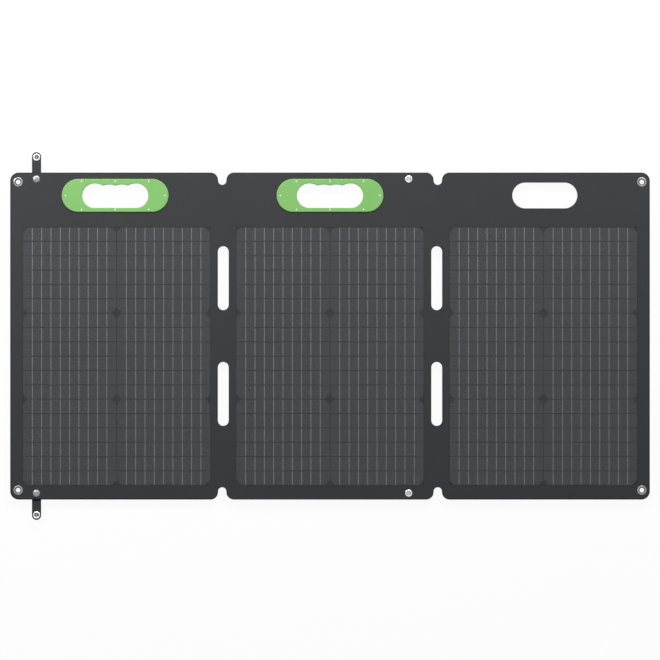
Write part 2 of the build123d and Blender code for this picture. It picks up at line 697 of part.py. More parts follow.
# ---- rivets of the straps ----------------------------------------------------------------
# domed caps with their stems
with BuildPart() as rivet_domes:
    with BuildSketch(Plane.XY.offset(FRONT_Z)):
        with Locations(*RIVETS):
            Circle(RIVET_DOME_R)
    extrude(amount=RIVET_DOME_T)
    fillet(rivet_domes.edges().filter_by(GeomType.CIRCLE).group_by(Axis.Z)[-1], RIVET_DOME_ROUND)
    with BuildSketch(Plane.XY.offset(STRAP_Z)):
        with Locations(*RIVETS):
            Circle(RIVET_R)
    extrude(amount=FRONT_Z - STRAP_Z)
rivet_domes.part.label = "strap_rivet_domes"
export_step(rivet_domes.part, "parts/strap_rivet_domes.step")

# plates behind the straps
with BuildPart() as rivet_plates:
    with BuildSketch(Plane.XY.offset(STRAP_Z)):
        with Locations(*RIVETS):
            Circle(STUD_FLANGE_R)
    extrude(amount=-RIVET_PLATE_T)
    fillet(rivet_plates.edges().filter_by(GeomType.CIRCLE).group_by(Axis.Z)[0], HARDWARE_ROUND)
rivet_plates.part.label = "strap_rivet_plates"
export_step(rivet_plates.part, "parts/strap_rivet_plates.step")

# ---- snap studs on the middle panel ------------------------------------------------------
# front halves: ringed heads with stems through the sheet
with BuildPart() as stud_posts:
    with BuildSketch(Plane.XY.offset(FRONT_Z)):
        with Locations(*STUDS):
            Circle(RIVET_DOME_R)
    extrude(amount=POST_HEAD_T)
    fillet(stud_posts.edges().filter_by(GeomType.CIRCLE).group_by(Axis.Z)[-1], HARDWARE_ROUND)
    with BuildSketch(Plane.XY.offset(FRONT_Z + POST_HEAD_T)):
        with Locations(*STUDS):
            Circle(POST_RING_OUT_R)
            Circle(POST_RING_IN_R, mode=Mode.SUBTRACT)
    extrude(amount=-POST_RING_DEPTH, mode=Mode.SUBTRACT)
    with BuildSketch(Plane.XY.offset(BACK_Z)):
        with Locations(*STUDS):
            Circle(RIVET_R)
    extrude(amount=PANEL_T)
stud_posts.part.label = "snap_stud_posts"
export_step(stud_posts.part, "parts/snap_stud_posts.step")

# back halves: the studs that the straps snap onto
with BuildPart() as studs:
    with BuildSketch(Plane.XY.offset(BACK_Z)):
        with Locations(*STUDS):
            Circle(STUD_FLANGE_R)
    extrude(amount=-STUD_FLANGE_T)
    with BuildSketch(Plane.XY.offset(BACK_Z)):
        with Locations(*STUDS):
            Circle(STUD_R)
    extrude(amount=-SNAP_RISE + STUD_SHORT)
    fillet(studs.edges().filter_by(GeomType.CIRCLE).group_by(Axis.Z)[0], HARDWARE_ROUND)
studs.part.label = "snap_studs"
export_step(studs.part, "parts/snap_studs.step")

# ---- junction box ------------------------------------------------------------------------
BOX_SCREWS = GridLocations(BOX_L - 2 * BOX_SCREW_IN, BOX_W - 2 * BOX_SCREW_IN, 2, 2)
WELL_Z = BACK_Z + WELL_TOP
WELL_CAVITY_Z = WELL_Z - BOX_FLOOR_T
WALL_Y = BOX_Y - BOX_W / 2
PCB_Z = WELL_CAVITY_Z - PCB_GAP - PCB_T
SEAL_L_OUT = BOX_L - 2 * SEAL_IN
SEAL_W_OUT = BOX_W - 2 * SEAL_IN
SEAL_R_OUT = BOX_R - SEAL_IN

with BuildPart() as box_body:
    with BuildSketch(Plane((0, BOX_Y, BOX_LID_T))):
        RectangleRounded(BOX_L, BOX_W, BOX_R)
    extrude(amount=BACK_Z - BOX_LID_T)
    with BuildSketch(Plane((0, BOX_Y, BACK_Z))):
        RectangleRounded(WELL_L, WELL_W, WELL_R)
    extrude(amount=WELL_TOP)
    with BuildSketch(Plane((0, BOX_Y, BOX_LID_T))):
        RectangleRounded(BOX_L - 2 * BOX_WALL, BOX_W - 2 * BOX_WALL, BOX_R - BOX_WALL)
    extrude(amount=BACK_Z - BOX_LID_T - BOX_FLANGE_T, mode=Mode.SUBTRACT)
    with BuildSketch(Plane((0, BOX_Y, BOX_LID_T))):
        RectangleRounded(WELL_L - 2 * WELL_WALL, WELL_W - 2 * WELL_WALL, WELL_R - WELL_WALL)
    extrude(amount=WELL_CAVITY_Z - BOX_LID_T, mode=Mode.SUBTRACT)
    # screw posts in the corners
    with BuildSketch(Plane((0, BOX_Y, BOX_LID_T))):
        with BOX_SCREWS:
            Circle(BOX_POST_R)
    extrude(amount=BACK_Z - BOX_LID_T)
    with BuildSketch(Plane((0, BOX_Y, BOX_LID_T))):
        with BOX_SCREWS:
            Circle(SCREW_HOLE_R)
    extrude(amount=BOX_SCREW_HOLE, mode=Mode.SUBTRACT)
    # slots for the strips' tabs, and the hole for the output socket
    with BuildSketch(Plane((0, BOX_Y, WELL_CAVITY_Z))):
        with Locations(*[(x, 0) for x in TAB_X]):
            Rectangle(BUS_W + TAB_SLOT_SPARE, TAB_SLOT_T)
    extrude(amount=BOX_FLOOR_T, mode=Mode.SUBTRACT)
    with BuildSketch(socket_plane(WALL_Y)):
        Circle(JACK_NOSE_R + FIT)
    extrude(amount=-BOX_WALL, mode=Mode.SUBTRACT)
box_body.part.label = "junction_box_body"
export_step(box_body.part, "parts/junction_box_body.step")

# lid with a groove for its seal
with BuildPart() as box_lid:
    with BuildSketch(Plane((0, BOX_Y, 0))):
        RectangleRounded(BOX_L, BOX_W, BOX_R)
    extrude(amount=BOX_LID_T)
    fillet(box_lid.faces().sort_by(Axis.Z)[0].edges(), BOX_LID_ROUND)
    with BuildSketch(Plane((0, BOX_Y, BOX_LID_T))):
        RectangleRounded(SEAL_L_OUT, SEAL_W_OUT, SEAL_R_OUT)
        RectangleRounded(
            SEAL_L_OUT - 2 * SEAL_W, SEAL_W_OUT - 2 * SEAL_W, SEAL_R_OUT - SEAL_W, mode=Mode.SUBTRACT
        )
    extrude(amount=-SEAL_T, mode=Mode.SUBTRACT)
    with BuildSketch(Plane((0, BOX_Y, 0))):
        with BOX_SCREWS:
            Circle(SCREW_HOLE_R + FIT)
    extrude(amount=BOX_LID_T, mode=Mode.SUBTRACT)
    with BuildSketch(Plane((0, BOX_Y, 0))):
        with BOX_SCREWS:
            Circle(SCREW_HEAD_R + FIT)
    extrude(amount=SCREW_HEAD_T, mode=Mode.SUBTRACT)
box_lid.part.label = "junction_box_lid"
export_step(box_lid.part, "parts/junction_box_lid.step")

# seal in the lid's groove
with BuildPart() as box_seal:
    with BuildSketch(Plane((0, BOX_Y, BOX_LID_T - SEAL_T))):
        RectangleRounded(SEAL_L_OUT - FIT, SEAL_W_OUT - FIT, SEAL_R_OUT)
        RectangleRounded(
            SEAL_L_OUT - 2 * SEAL_W + FIT,
            SEAL_W_OUT - 2 * SEAL_W + FIT,
            SEAL_R_OUT - SEAL_W,
            mode=Mode.SUBTRACT,
        )
    extrude(amount=SEAL_T)
box_seal.part.label = "junction_box_seal"
export_step(box_seal.part, "parts/junction_box_seal.step")

# four lid screws
with BuildPart() as box_screws:
    with BuildSketch(Plane((0, BOX_Y, SCREW_SUNK))):
        with BOX_SCREWS:
            Circle(SCREW_HEAD_R)
    extrude(amount=SCREW_HEAD_T - SCREW_SUNK)
    with BuildSketch(Plane((0, BOX_Y, SCREW_HEAD_T))):
        with BOX_SCREWS:
            Circle(SCREW_R)
    extrude(amount=BOX_SCREW_L)
box_screws.part.label = "junction_box_screws"
export_step(box_screws.part, "parts/junction_box_screws.step")

# circuit board, high in the well
with BuildPart() as circuit_board:
    with BuildSketch(Plane((0, BOX_Y, PCB_Z))):
        RectangleRounded(WELL_L - 2 * PCB_IN, WELL_W - 2 * PCB_IN, PCB_R)
        with BOX_SCREWS:
            Circle(PCB_NOTCH_R, mode=Mode.SUBTRACT)
        with Locations(*[(x, 0) for x in TAB_X]):
            Rectangle(BUS_W + TAB_SLOT_SPARE, TAB_SLOT_T, mode=Mode.SUBTRACT)
    extrude(amount=PCB_T)
circuit_board.part.label = "junction_circuit_board"
export_step(circuit_board.part, "parts/junction_circuit_board.step")

# tabs from the copper strips down through the circuit board
with BuildPart() as tabs:
    with BuildSketch(Plane((0, BOX_Y, PCB_Z - TAB_BELOW))):
        with Locations(*[(x, 0) for x in TAB_X]):
            Rectangle(BUS_W, TAB_T)
    extrude(amount=BUS_Z - PCB_Z + TAB_BELOW)
tabs.part.label = "junction_tabs"
export_step(tabs.part, "parts/junction_tabs.step")

# bypass diodes, one for each panel
with BuildPart() as diodes:
    with BuildSketch(Plane((0, BOX_Y + DIODE_UP, PCB_Z))):
        with GridLocations(DIODE_PITCH, 0, 3, 1):
            Rectangle(DIODE_L, DIODE_W)
    extrude(amount=-DIODE_H)
    chamfer(diodes.faces().sort_by(Axis.Z)[0:3].edges(), DIODE_CHAMFER)
diodes.part.label = "bypass_diodes"
export_step(diodes.part, "parts/bypass_diodes.step")

# output socket for a barrel plug
JACK_BODY_Y = WALL_Y + BOX_WALL + JACK_BACK_GAP
JACK_BODY_Z = BOX_LID_T + FIT
JACK_BODY_TOP = BACK_Z - BOX_FLANGE_T - FIT
with BuildPart() as jack_housing:
    with BuildSketch(Plane((JACK_X, JACK_BODY_Y + JACK_BODY_L / 2, JACK_BODY_Z))):
        Rectangle(JACK_BODY_W, JACK_BODY_L)
    extrude(amount=JACK_BODY_TOP - JACK_BODY_Z)
    # foot that stands on the circuit board
    with BuildSketch(Plane((JACK_X, JACK_BODY_Y + JACK_BODY_L - JACK_FOOT_L / 2, JACK_BODY_TOP))):
        Rectangle(JACK_BODY_W, JACK_FOOT_L)
    extrude(amount=PCB_Z - JACK_BODY_TOP)
    with BuildSketch(socket_plane(WALL_Y)):
        Circle(JACK_NOSE_R)
    extrude(amount=-BOX_WALL - JACK_BACK_GAP)
    with BuildSketch(socket_plane(WALL_Y)):
        Circle(JACK_BORE_R)
    extrude(amount=-JACK_BORE_DEPTH, mode=Mode.SUBTRACT)
jack_housing.part.label = "output_jack_housing"
export_step(jack_housing.part, "parts/output_jack_housing.step")

# the socket's centre pin
with BuildPart() as jack_pin:
    with BuildSketch(socket_plane(WALL_Y + JACK_PIN_BACK)):
        Circle(JACK_PIN_R)
    extrude(amount=-JACK_BORE_DEPTH + JACK_PIN_BACK)
    fillet(jack_pin.edges().filter_by(GeomType.CIRCLE).sort_by(Axis.Y)[0], JACK_PIN_ROUND)
jack_pin.part.label = "output_jack_pin"
export_step(jack_pin.part, "parts/output_jack_pin.step")
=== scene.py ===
"""Folding solar panel: finishes, visual pieces, floor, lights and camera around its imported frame.

Three laminated panels lie open in one sheet, cells up. Everything is in metres, in the frame's own
axes: +X along the panels, +Y towards the carrying handles, +Z up out of the cells.
"""

from __future__ import annotations

import logging
import math
from dataclasses import dataclass
from enum import Enum
from typing import Iterable, Sequence

import bmesh
import bpy
from mathutils import Matrix, Vector
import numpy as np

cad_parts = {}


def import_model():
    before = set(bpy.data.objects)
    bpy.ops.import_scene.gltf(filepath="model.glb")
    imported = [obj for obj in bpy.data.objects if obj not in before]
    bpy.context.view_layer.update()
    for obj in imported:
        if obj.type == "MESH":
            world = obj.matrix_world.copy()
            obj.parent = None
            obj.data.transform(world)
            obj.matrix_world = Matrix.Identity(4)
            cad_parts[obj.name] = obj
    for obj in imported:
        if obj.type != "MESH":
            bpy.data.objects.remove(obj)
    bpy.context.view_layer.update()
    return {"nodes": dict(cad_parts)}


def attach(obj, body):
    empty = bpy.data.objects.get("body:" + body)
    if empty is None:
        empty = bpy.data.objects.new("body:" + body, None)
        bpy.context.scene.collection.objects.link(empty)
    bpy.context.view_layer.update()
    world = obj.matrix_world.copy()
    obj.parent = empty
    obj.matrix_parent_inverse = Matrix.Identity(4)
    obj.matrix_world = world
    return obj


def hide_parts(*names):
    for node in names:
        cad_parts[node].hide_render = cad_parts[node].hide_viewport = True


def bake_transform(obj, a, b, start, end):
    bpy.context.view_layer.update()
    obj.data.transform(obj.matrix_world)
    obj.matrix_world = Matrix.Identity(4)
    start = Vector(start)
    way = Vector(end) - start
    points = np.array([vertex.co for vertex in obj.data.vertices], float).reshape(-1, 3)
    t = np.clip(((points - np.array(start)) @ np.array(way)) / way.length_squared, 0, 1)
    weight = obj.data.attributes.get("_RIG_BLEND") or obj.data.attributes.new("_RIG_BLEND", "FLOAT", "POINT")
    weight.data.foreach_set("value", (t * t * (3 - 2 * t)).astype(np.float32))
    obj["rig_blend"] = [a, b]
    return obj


LOG = logging.getLogger("folding_panel")
# rim marks carry painted edge shade on the covers and edge wear on plastics; crease marks carry painted
# shade in metal recesses
MARKS = ("rim", "crease")

# a millimetre, and how near vertices, heights and sides count as one, in metres
MM = 0.001
MERGE = 0.002 * MM
SNUG = 0.001 * MM
CLOSE = 0.01 * MM
NEAR = 0.05 * MM

# upright parts of the normals of level faces and of upper ones
LEVEL = 0.9995
UPWARD = 0.9

# angles between faces across a sharp edge and across a flat one, in degrees
STEEP = 60.0
FLAT = 0.5

# segments round a turned piece
ROUND_STEPS = 40

# places and sizes that several pieces share, in mm
FOLD_X = 193.1
SLOT_X = 191.9
WEB_WIDTH = 15.5
SHEET_TOP = 13.0
STRAP_X = -527.7
STRAP_WIDTH = 16.5
SNAP_Y = 282.4

Socket = bpy.types.NodeSocket
Edge = bmesh.types.BMEdge
Face = bmesh.types.BMFace
Colour = tuple[float, float, float]
Outline = Sequence[tuple[float, float]]
Place = tuple[float, float, float]
Nodes = dict[str, bpy.types.Object]


class Panel(Enum):
    """The three panels, by where they lie."""

    LEFT = "left"
    MIDDLE = "middle"
    RIGHT = "right"


class Strap(Enum):
    """The two closing straps and the way that each runs along Y."""

    TOP = 1
    BOTTOM = -1

    @property
    def word(self) -> str:
        """The strap's name in lower case."""
        return self.name.lower()


class Metal(Enum):
    """Metals, each with its colour, roughness and how far painted shade darkens its creases."""

    NICKEL = ((0.3, 0.3, 0.304), 0.32, 0.6)
    SILVER = ((0.72, 0.72, 0.725), 0.3, 0.5)
    COPPER = ((0.78, 0.36, 0.2), 0.34, 0.4)


class Fleck(Enum):
    """Plastics and resins, each with its colour, grain per metre, grain depth in mm and roughness."""

    GREEN = ((0.17, 0.4, 0.11), 1500.0, 0.05, 0.46)
    BOX = ((0.017, 0.0175, 0.019), 1100.0, 0.09, 0.55)
    RUBBER = ((0.012, 0.012, 0.013), 900.0, 0.05, 0.8)
    DIODE = ((0.01, 0.01, 0.011), 2200.0, 0.02, 0.35)
    CIRCUIT = ((0.016, 0.1, 0.045), 1700.0, 0.02, 0.4)
    UNDERLAY = ((0.029, 0.0298, 0.0313), 1000.0, 0.02, 0.6)


# ---- node trees --------------------------------------------------------------------------


class Wiring:
    """A short way to place and join nodes in one tree."""

    def __init__(self, tree: bpy.types.NodeTree) -> None:
        """Keeps the tree.

        Args:
            tree: The material's or group's node tree.
        """
        self.tree = tree

    def node(self, kind: str, **settings: object) -> bpy.types.Node:
        """Adds a node.

        Args:
            kind: Blender's name for it, without the ShaderNode in front.
            settings: Its properties.

        Returns:
            The node.
        """
        made = self.tree.nodes.new(f"ShaderNode{kind}")
        for name, value in settings.items():
            setattr(made, name, value)
        return made

    def feed(self, node: bpy.types.Node, socket: str | int, source: object) -> None:
        """Gives one input a number, a colour, a vector or another node's output.

        Args:
            node: The node that takes it.
            socket: The input's name or number.
            source: What goes in.
        """
        if isinstance(source, Socket):
            self.tree.links.new(source, node.inputs[socket])
        elif isinstance(source, tuple) and len(source) == 3 and node.inputs[socket].type == "RGBA":
            node.inputs[socket].default_value = (*source, 1.0)
        else:
            node.inputs[socket].default_value = source

    def math(self, operation: str, *values: object) -> Socket:
        """Places a Math node.

        Args:
            operation: Its operation.
            values: Its inputs in order.

        Returns:
            Its output.
        """
        made = self.node("Math", operation=operation)
        for index, value in enumerate(values):
            self.feed(made, index, value)
        return made.outputs[0]

    def times(self, *values: object) -> Socket:
        """Multiplies two values."""
        return self.math("MULTIPLY", *values)

    def plus(self, *values: object) -> Socket:
        """Adds two values."""
        return self.math("ADD", *values)

    def minus(self, *values: object) -> Socket:
        """Takes the second value from the first."""
        return self.math("SUBTRACT", *values)

    def size(self, value: object) -> Socket:
        """A value without its sign."""
        return self.math("ABSOLUTE", value)

    def scale(self, vector: object, by: object) -> Socket:
        """Multiplies a vector or a colour by one value.

        Args:
            vector: The vector or colour.
            by: The value.

        Returns:
            The product.
        """
        made = self.node("VectorMath", operation="SCALE")
        self.feed(made, "Vector", vector)
        self.feed(made, "Scale", by)
        return made.outputs[0]

    def mix(self, share: object, first: object, second: object) -> Socket:
        """Mixes two colours.

        Args:
            share: How much of the second.
            first: One colour.
            second: The other.

        Returns:
            The mixed colour.
        """
        made = self.node("Mix", data_type="RGBA")
        self.feed(made, 0, share)
        self.feed(made, 6, first)
        self.feed(made, 7, second)
        return made.outputs[2]

    def spread(self, value: object, low: float, high: float, start: float = 0.0, end: float = 1.0) -> Socket:
        """Maps a value from one range to another and keeps it there.

        Args:
            value: What is mapped.
            low: Result at the range's start.
            high: Result at its end.
            start: Where the range starts.
            end: Where it ends.

        Returns:
            The mapped value.
        """
        made = self.node("MapRange", clamp=True)
        ends = {"Value": value, "From Min": start, "From Max": end, "To Min": low, "To Max": high}
        for name, source in ends.items():
            self.feed(made, name, source)
        return made.outputs[0]

    def noise(self, vector: object, scale: object, detail: float = 2.0, rough: float = 0.5) -> Socket:
        """Places a Noise Texture.

        Args:
            vector: Its coordinates.
            scale: Its scale per metre.
            detail: Its octaves.
            rough: How strong the finer octaves are.

        Returns:
            Its value.
        """
        made = self.node("TexNoise")
        for name, source in (("Vector", vector), ("Scale", scale), ("Detail", detail), ("Roughness", rough)):
            self.feed(made, name, source)
        return made.outputs["Fac"]

    def axes(self, vector: object) -> tuple[Socket, ...]:
        """Splits a vector.

        Args:
            vector: What is split.

        Returns:
            Its three parts.
        """
        made = self.node("SeparateXYZ")
        self.feed(made, 0, vector)
        return tuple(made.outputs)

    def vector(self, *parts: object) -> Socket:
        """Joins parts into a vector.

        Args:
            parts: Up to three values or outputs.

        Returns:
            The vector.
        """
        made = self.node("CombineXYZ")
        for index, part in enumerate(parts):
            self.feed(made, index, part)
        return made.outputs[0]


class Effects:
    """The node groups that several finishes share. Each is built once."""

    def __init__(self) -> None:
        """Builds every group."""
        self.grain = self._grain()
        self.weave = self._weave()
        self.drift = self._drift()
        self.wear_and_shade = self._wear_and_shade()
        self.hairlines = self._hairlines()

    def _start(
        self, name: str, inputs: dict[str, float | Colour], outputs: dict[str, str]
    ) -> tuple[Wiring, bpy.types.NodeOutputs, bpy.types.Node]:
        """Opens a group with its sockets, of which the first input is always a vector.

        Args:
            name: The group's name.
            inputs: Each further input's value, a number or a colour.
            outputs: Each output's kind.

        Returns:
            The group's wiring, its inputs and its output node.
        """
        tree = bpy.data.node_groups.new(name, "ShaderNodeTree")
        tree.interface.new_socket("Vector", in_out="INPUT", socket_type="NodeSocketVector")
        for socket, value in inputs.items():
            kind = "Float" if isinstance(value, float) else "Color"
            made = tree.interface.new_socket(socket, in_out="INPUT", socket_type=f"NodeSocket{kind}")
            made.default_value = value if kind == "Float" else (*value, 1.0)
        for socket, kind in outputs.items():
            tree.interface.new_socket(socket, in_out="OUTPUT", socket_type=f"NodeSocket{kind}")
        start = tree.nodes.new("NodeGroupInput").outputs
        return Wiring(tree), start, tree.nodes.new("NodeGroupOutput")

    def _grain(self) -> bpy.types.NodeTree:
        """Fine moulded or pressed pebbles: a height, and a mask of their tops.

        Returns:
            The group.
        """
        inputs = {"Scale": 900.0, "Softness": 0.5}
        w, start, end = self._start("surface_grain", inputs, {"Height": "Float", "Tops": "Float"})
        pebbles = w.node("TexVoronoi", feature="SMOOTH_F1")
        w.feed(pebbles, "Vector", start["Vector"])
        w.feed(pebbles, "Scale", start["Scale"])
        w.feed(pebbles, "Smoothness", start["Softness"])
        fine = w.noise(start["Vector"], w.times(start["Scale"], 2.3), 3.0, 0.6)
        rounded = w.minus(1.0, pebbles.outputs["Distance"])
        height = w.plus(w.times(rounded, 0.75), w.times(fine, 0.25))
        w.feed(end, "Height", height)
        w.feed(end, "Tops", w.spread(height, 0.0, 1.0, 0.45, 0.8))
        return w.tree

    def _weave(self) -> bpy.types.NodeTree:
        """Plain weave across X and Y: a height, and a mask of which thread is on top.

        Returns:
            The group.
        """
        outputs = {"Height": "Float", "Warp": "Float"}
        w, start, end = self._start("plain_weave", {"Threads": 1400.0}, outputs)
        x, y = w.axes(start["Vector"])[:2]
        turn = w.times(start["Threads"], math.pi)
        across = w.math("SINE", w.times(x, turn))
        along = w.math("SINE", w.times(y, turn))
        over = w.math("GREATER_THAN", w.times(across, along), 0.0)
        warp = w.times(w.size(across), over)
        weft = w.times(w.size(along), w.minus(1.0, over))
        w.feed(end, "Height", w.plus(warp, weft))
        w.feed(end, "Warp", over)
        return w.tree

    def _drift(self) -> bpy.types.NodeTree:
        """Slow change of shade over a surface, with a finer mottle in it.

        Returns:
            The group.
        """
        inputs = {"Colour": (0.5, 0.5, 0.5), "Scale": 9.0, "Amount": 0.1}
        w, start, end = self._start("shade_drift", inputs, {"Colour": "Color", "Value": "Float"})
        broad = w.noise(start["Vector"], start["Scale"])
        fine = w.noise(start["Vector"], w.times(start["Scale"], 17.0), 3.0, 0.6)
        value = w.plus(w.times(broad, 0.6), w.times(fine, 0.4))
        reach = w.times(start["Amount"], 2.0)
        swing = w.times(w.minus(value, 0.5), reach)
        w.feed(end, "Colour", w.scale(start["Colour"], w.plus(1.0, swing)))
        w.feed(end, "Value", value)
        return w.tree

    def _wear_and_shade(self) -> bpy.types.NodeTree:
        """An edge mask broken up by noise, for rubbed places and for painted shade in creases.

        Returns:
            The group.
        """
        inputs = {"Edge": 0.0, "Scale": 300.0, "Amount": 0.5}
        w, start, end = self._start("edge_wear_and_shade", inputs, {"Mask": "Float"})
        broken = w.noise(start["Vector"], start["Scale"], 4.0, 0.65)
        level = w.times(start["Edge"], w.plus(broken, start["Amount"]))
        w.feed(end, "Mask", w.spread(level, 0.0, 1.0, 0.55, 0.95))
        return w.tree

    def _hairlines(self) -> bpy.types.NodeTree:
        """Fine handling scratches in two directions.

        Returns:
            The group.
        """
        w, start, end = self._start("hairlines", {"Scale": 400.0}, {"Mask": "Float"})
        x, y, z = w.axes(start["Vector"])
        one = w.noise(w.vector(w.times(x, 9.0), y, z), start["Scale"])
        other = w.noise(w.vector(x, w.times(y, 12.0), z), start["Scale"])
        w.feed(end, "Mask", w.spread(w.math("MAXIMUM", one, other), 0.0, 1.0, 0.6, 0.75))
        return w.tree


class Surface:
    """One material being built: its shader, its coordinates and its bump."""

    def __init__(self, name: str, effects: Effects) -> None:
        """Starts a material with a plain shader.

        Args:
            name: The material's name.
            effects: The shared node groups.
        """
        self.material = bpy.data.materials.new(f"{name}_finish")
        self.material.use_nodes = True
        tree = self.material.node_tree
        tree.nodes.clear()
        self.w = Wiring(tree)
        self.effects = effects
        self.shader = self.w.node("BsdfPrincipled")
        out = self.w.node("OutputMaterial")
        self.w.feed(out, "Surface", self.shader.outputs[0])
        self.place = self.w.node("TexCoord").outputs["Object"]

    def effect(self, tree: bpy.types.NodeTree, **values: object) -> bpy.types.Node:
        """Places a shared group on the object's coordinates.

        Args:
            tree: The group.
            values: Its other inputs.

        Returns:
            The group's node.
        """
        made = self.w.node("Group", node_tree=tree)
        for name, value in {"Vector": self.place, **values}.items():
            self.w.feed(made, name, value)
        return made

    def mark(self, name: str) -> Socket:
        """Reads a value that the mesh carries, by its attribute's name."""
        return self.w.node("Attribute", attribute_name=name).outputs["Fac"]

    def bump(self, height: object, depth: float, strength: float) -> None:
        """Raises the surface by a height map.

        Args:
            height: The map, from 0 to 1.
            depth: Its height in mm.
            strength: How much of it shows.
        """
        made = self.w.node("Bump")
        self.w.feed(made, "Height", height)
        self.w.feed(made, "Distance", depth * MM)
        self.w.feed(made, "Strength", strength)
        self.w.feed(self.shader, "Normal", made.outputs[0])

    def dress(self, **sockets: object) -> None:
        """Feeds the shader.

        Args:
            sockets: Values or outputs, with an underscore for each space of a socket's name.
        """
        for name, value in sockets.items():
            self.w.feed(self.shader, name.replace("_", " "), value)


# ---- finishes ----------------------------------------------------------------------------


def tinted(colour: Colour, share: float, lift: float = 0.0) -> Colour:
    """A colour times a share, plus a lift, no brighter than 1."""
    return tuple(min(1.0, c * share + lift) for c in colour)


@dataclass(frozen=True)
class Finish:
    """What every finish starts from: its name, and a surface that it dresses."""

    name: str

    def build(self, effects: Effects) -> bpy.types.Material:
        """Makes the material.

        Args:
            effects: The shared node groups.

        Returns:
            The material.
        """
        surface = Surface(self.name, effects)
        self.dress(surface)
        return surface.material

    def dress(self, s: Surface) -> None:
        """Works out the shader's inputs.

        Args:
            s: The surface that takes them.
        """
        raise NotImplementedError


@dataclass(frozen=True)
class Laminate(Finish):
    """Dark coated sheet: pebbled, a little uneven, with painted shade darkening its rounded rim."""

    colour: Colour
    rim_shade: float = 0.35
    grain: float = 800.0
    depth: float = 0.05

    def dress(self, s: Surface) -> None:
        """Works out the shader's inputs.

        Args:
            s: The surface that takes them.
        """
        drift = s.effect(s.effects.drift, Colour=self.colour, Scale=11.0, Amount=0.12)
        grain = s.effect(s.effects.grain, Scale=self.grain)
        dusty = s.effect(s.effects.wear_and_shade, Edge=1.0, Scale=160.0, Amount=0.05).outputs["Mask"]
        body = s.w.mix(s.w.times(dusty, 0.2), drift.outputs["Colour"], tinted(self.colour, 1.5))
        # painted shade: faces marked rim are darkened to rim_shade of the colour, a dark outline along the
        # cover's edge
        colour = s.w.mix(s.mark("rim"), body, tinted(self.colour, self.rim_shade))
        rough = s.w.spread(grain.outputs["Tops"], 0.6, 0.48)
        s.bump(grain.outputs["Height"], self.depth, 0.55)
        s.dress(Base_Color=colour, Roughness=rough, Specular_IOR_Level=0.12)


@dataclass(frozen=True)
class CoatedWeave(Finish):
    """Woven cloth under a thin coating, with its threads just showing."""

    colour: Colour
    threads: float = 1250.0
    depth: float = 0.12
    rough: float = 0.72

    def dress(self, s: Surface) -> None:
        """Works out the shader's inputs.

        Args:
            s: The surface that takes them.
        """
        weave = s.effect(s.effects.weave, Threads=self.threads)
        drift = s.effect(s.effects.drift, Colour=self.colour, Scale=7.0, Amount=0.22)
        light = s.w.plus(0.82, s.w.times(weave.outputs["Warp"], 0.3))
        shade = s.w.scale(drift.outputs["Colour"], light)
        rubbed = s.effect(s.effects.wear_and_shade, Edge=1.0, Scale=45.0, Amount=0.08).outputs["Mask"]
        colour = s.w.mix(s.w.times(rubbed, 0.25), shade, tinted(self.colour, 2.1))
        s.bump(weave.outputs["Height"], self.depth, 0.8)
        s.dress(
            Base_Color=colour,
            Roughness=s.w.spread(weave.outputs["Height"], self.rough, self.rough - 0.16),
            Specular_IOR_Level=0.3,
            Sheen_Weight=0.12,
            Sheen_Roughness=0.6,
        )


@dataclass(frozen=True)
class GlassFibre(Finish):
    """Stiff board of glass cloth in resin."""

    colour: Colour = (0.2, 0.22, 0.12)

    def dress(self, s: Surface) -> None:
        """Works out the shader's inputs.

        Args:
            s: The surface that takes them.
        """
        weave = s.effect(s.effects.weave, Threads=700.0)
        drift = s.effect(s.effects.drift, Colour=self.colour, Scale=14.0, Amount=0.15)
        pale = tinted(self.colour, 1.35)
        colour = s.w.mix(s.w.times(weave.outputs["Height"], 0.5), drift.outputs["Colour"], pale)
        s.bump(weave.outputs["Height"], 0.03, 0.6)
        s.dress(Base_Color=colour, Roughness=s.w.spread(drift.outputs["Value"], 0.35, 0.55))


@dataclass(frozen=True)
class CellSilicon(Finish):
    """Dark blue-grey cells: thin finger lines across each strip, and a shade of its own for each strip."""

    colour: Colour = (0.0125, 0.0142, 0.0182)
    strip_pitch: float = 25.8
    column_pitch: float = 168.3
    field_y: float = -36.1
    finger_pitch: float = 1.45
    finger_share: float = 0.14
    finger_colour: Colour = (0.16, 0.165, 0.175)

    def dress(self, s: Surface) -> None:
        """Works out the shader's inputs.

        Args:
            s: The surface that takes them.
        """
        w = s.w
        x, y = w.axes(s.place)[:2]
        up = w.minus(y, self.field_y * MM)
        row = w.math("FLOOR", w.math("DIVIDE", up, self.strip_pitch * MM))
        column = w.math("FLOOR", w.math("DIVIDE", x, self.column_pitch * MM))
        lot = w.node("TexWhiteNoise", noise_dimensions="3D")
        w.feed(lot, "Vector", w.vector(row, column, 0.0))
        wave = w.math("SINE", w.times(y, 2 * math.pi / (self.finger_pitch * MM)))
        finger = w.spread(wave, 0.0, 1.0, 0.86, 0.97)
        drift = s.effect(s.effects.drift, Colour=self.colour, Scale=16.0, Amount=0.1)
        shade = w.scale(drift.outputs["Colour"], w.spread(lot.outputs["Value"], 0.93, 1.07))
        texture = w.noise(s.place, 2600.0, 3.0)
        colour = w.mix(w.times(finger, self.finger_share), shade, self.finger_colour)
        s.bump(w.plus(w.times(finger, 0.6), w.times(texture, 0.4)), 0.01, 0.5)
        s.dress(
            Base_Color=colour,
            Roughness=w.spread(texture, 0.36, 0.5),
            Specular_IOR_Level=0.6,
        )


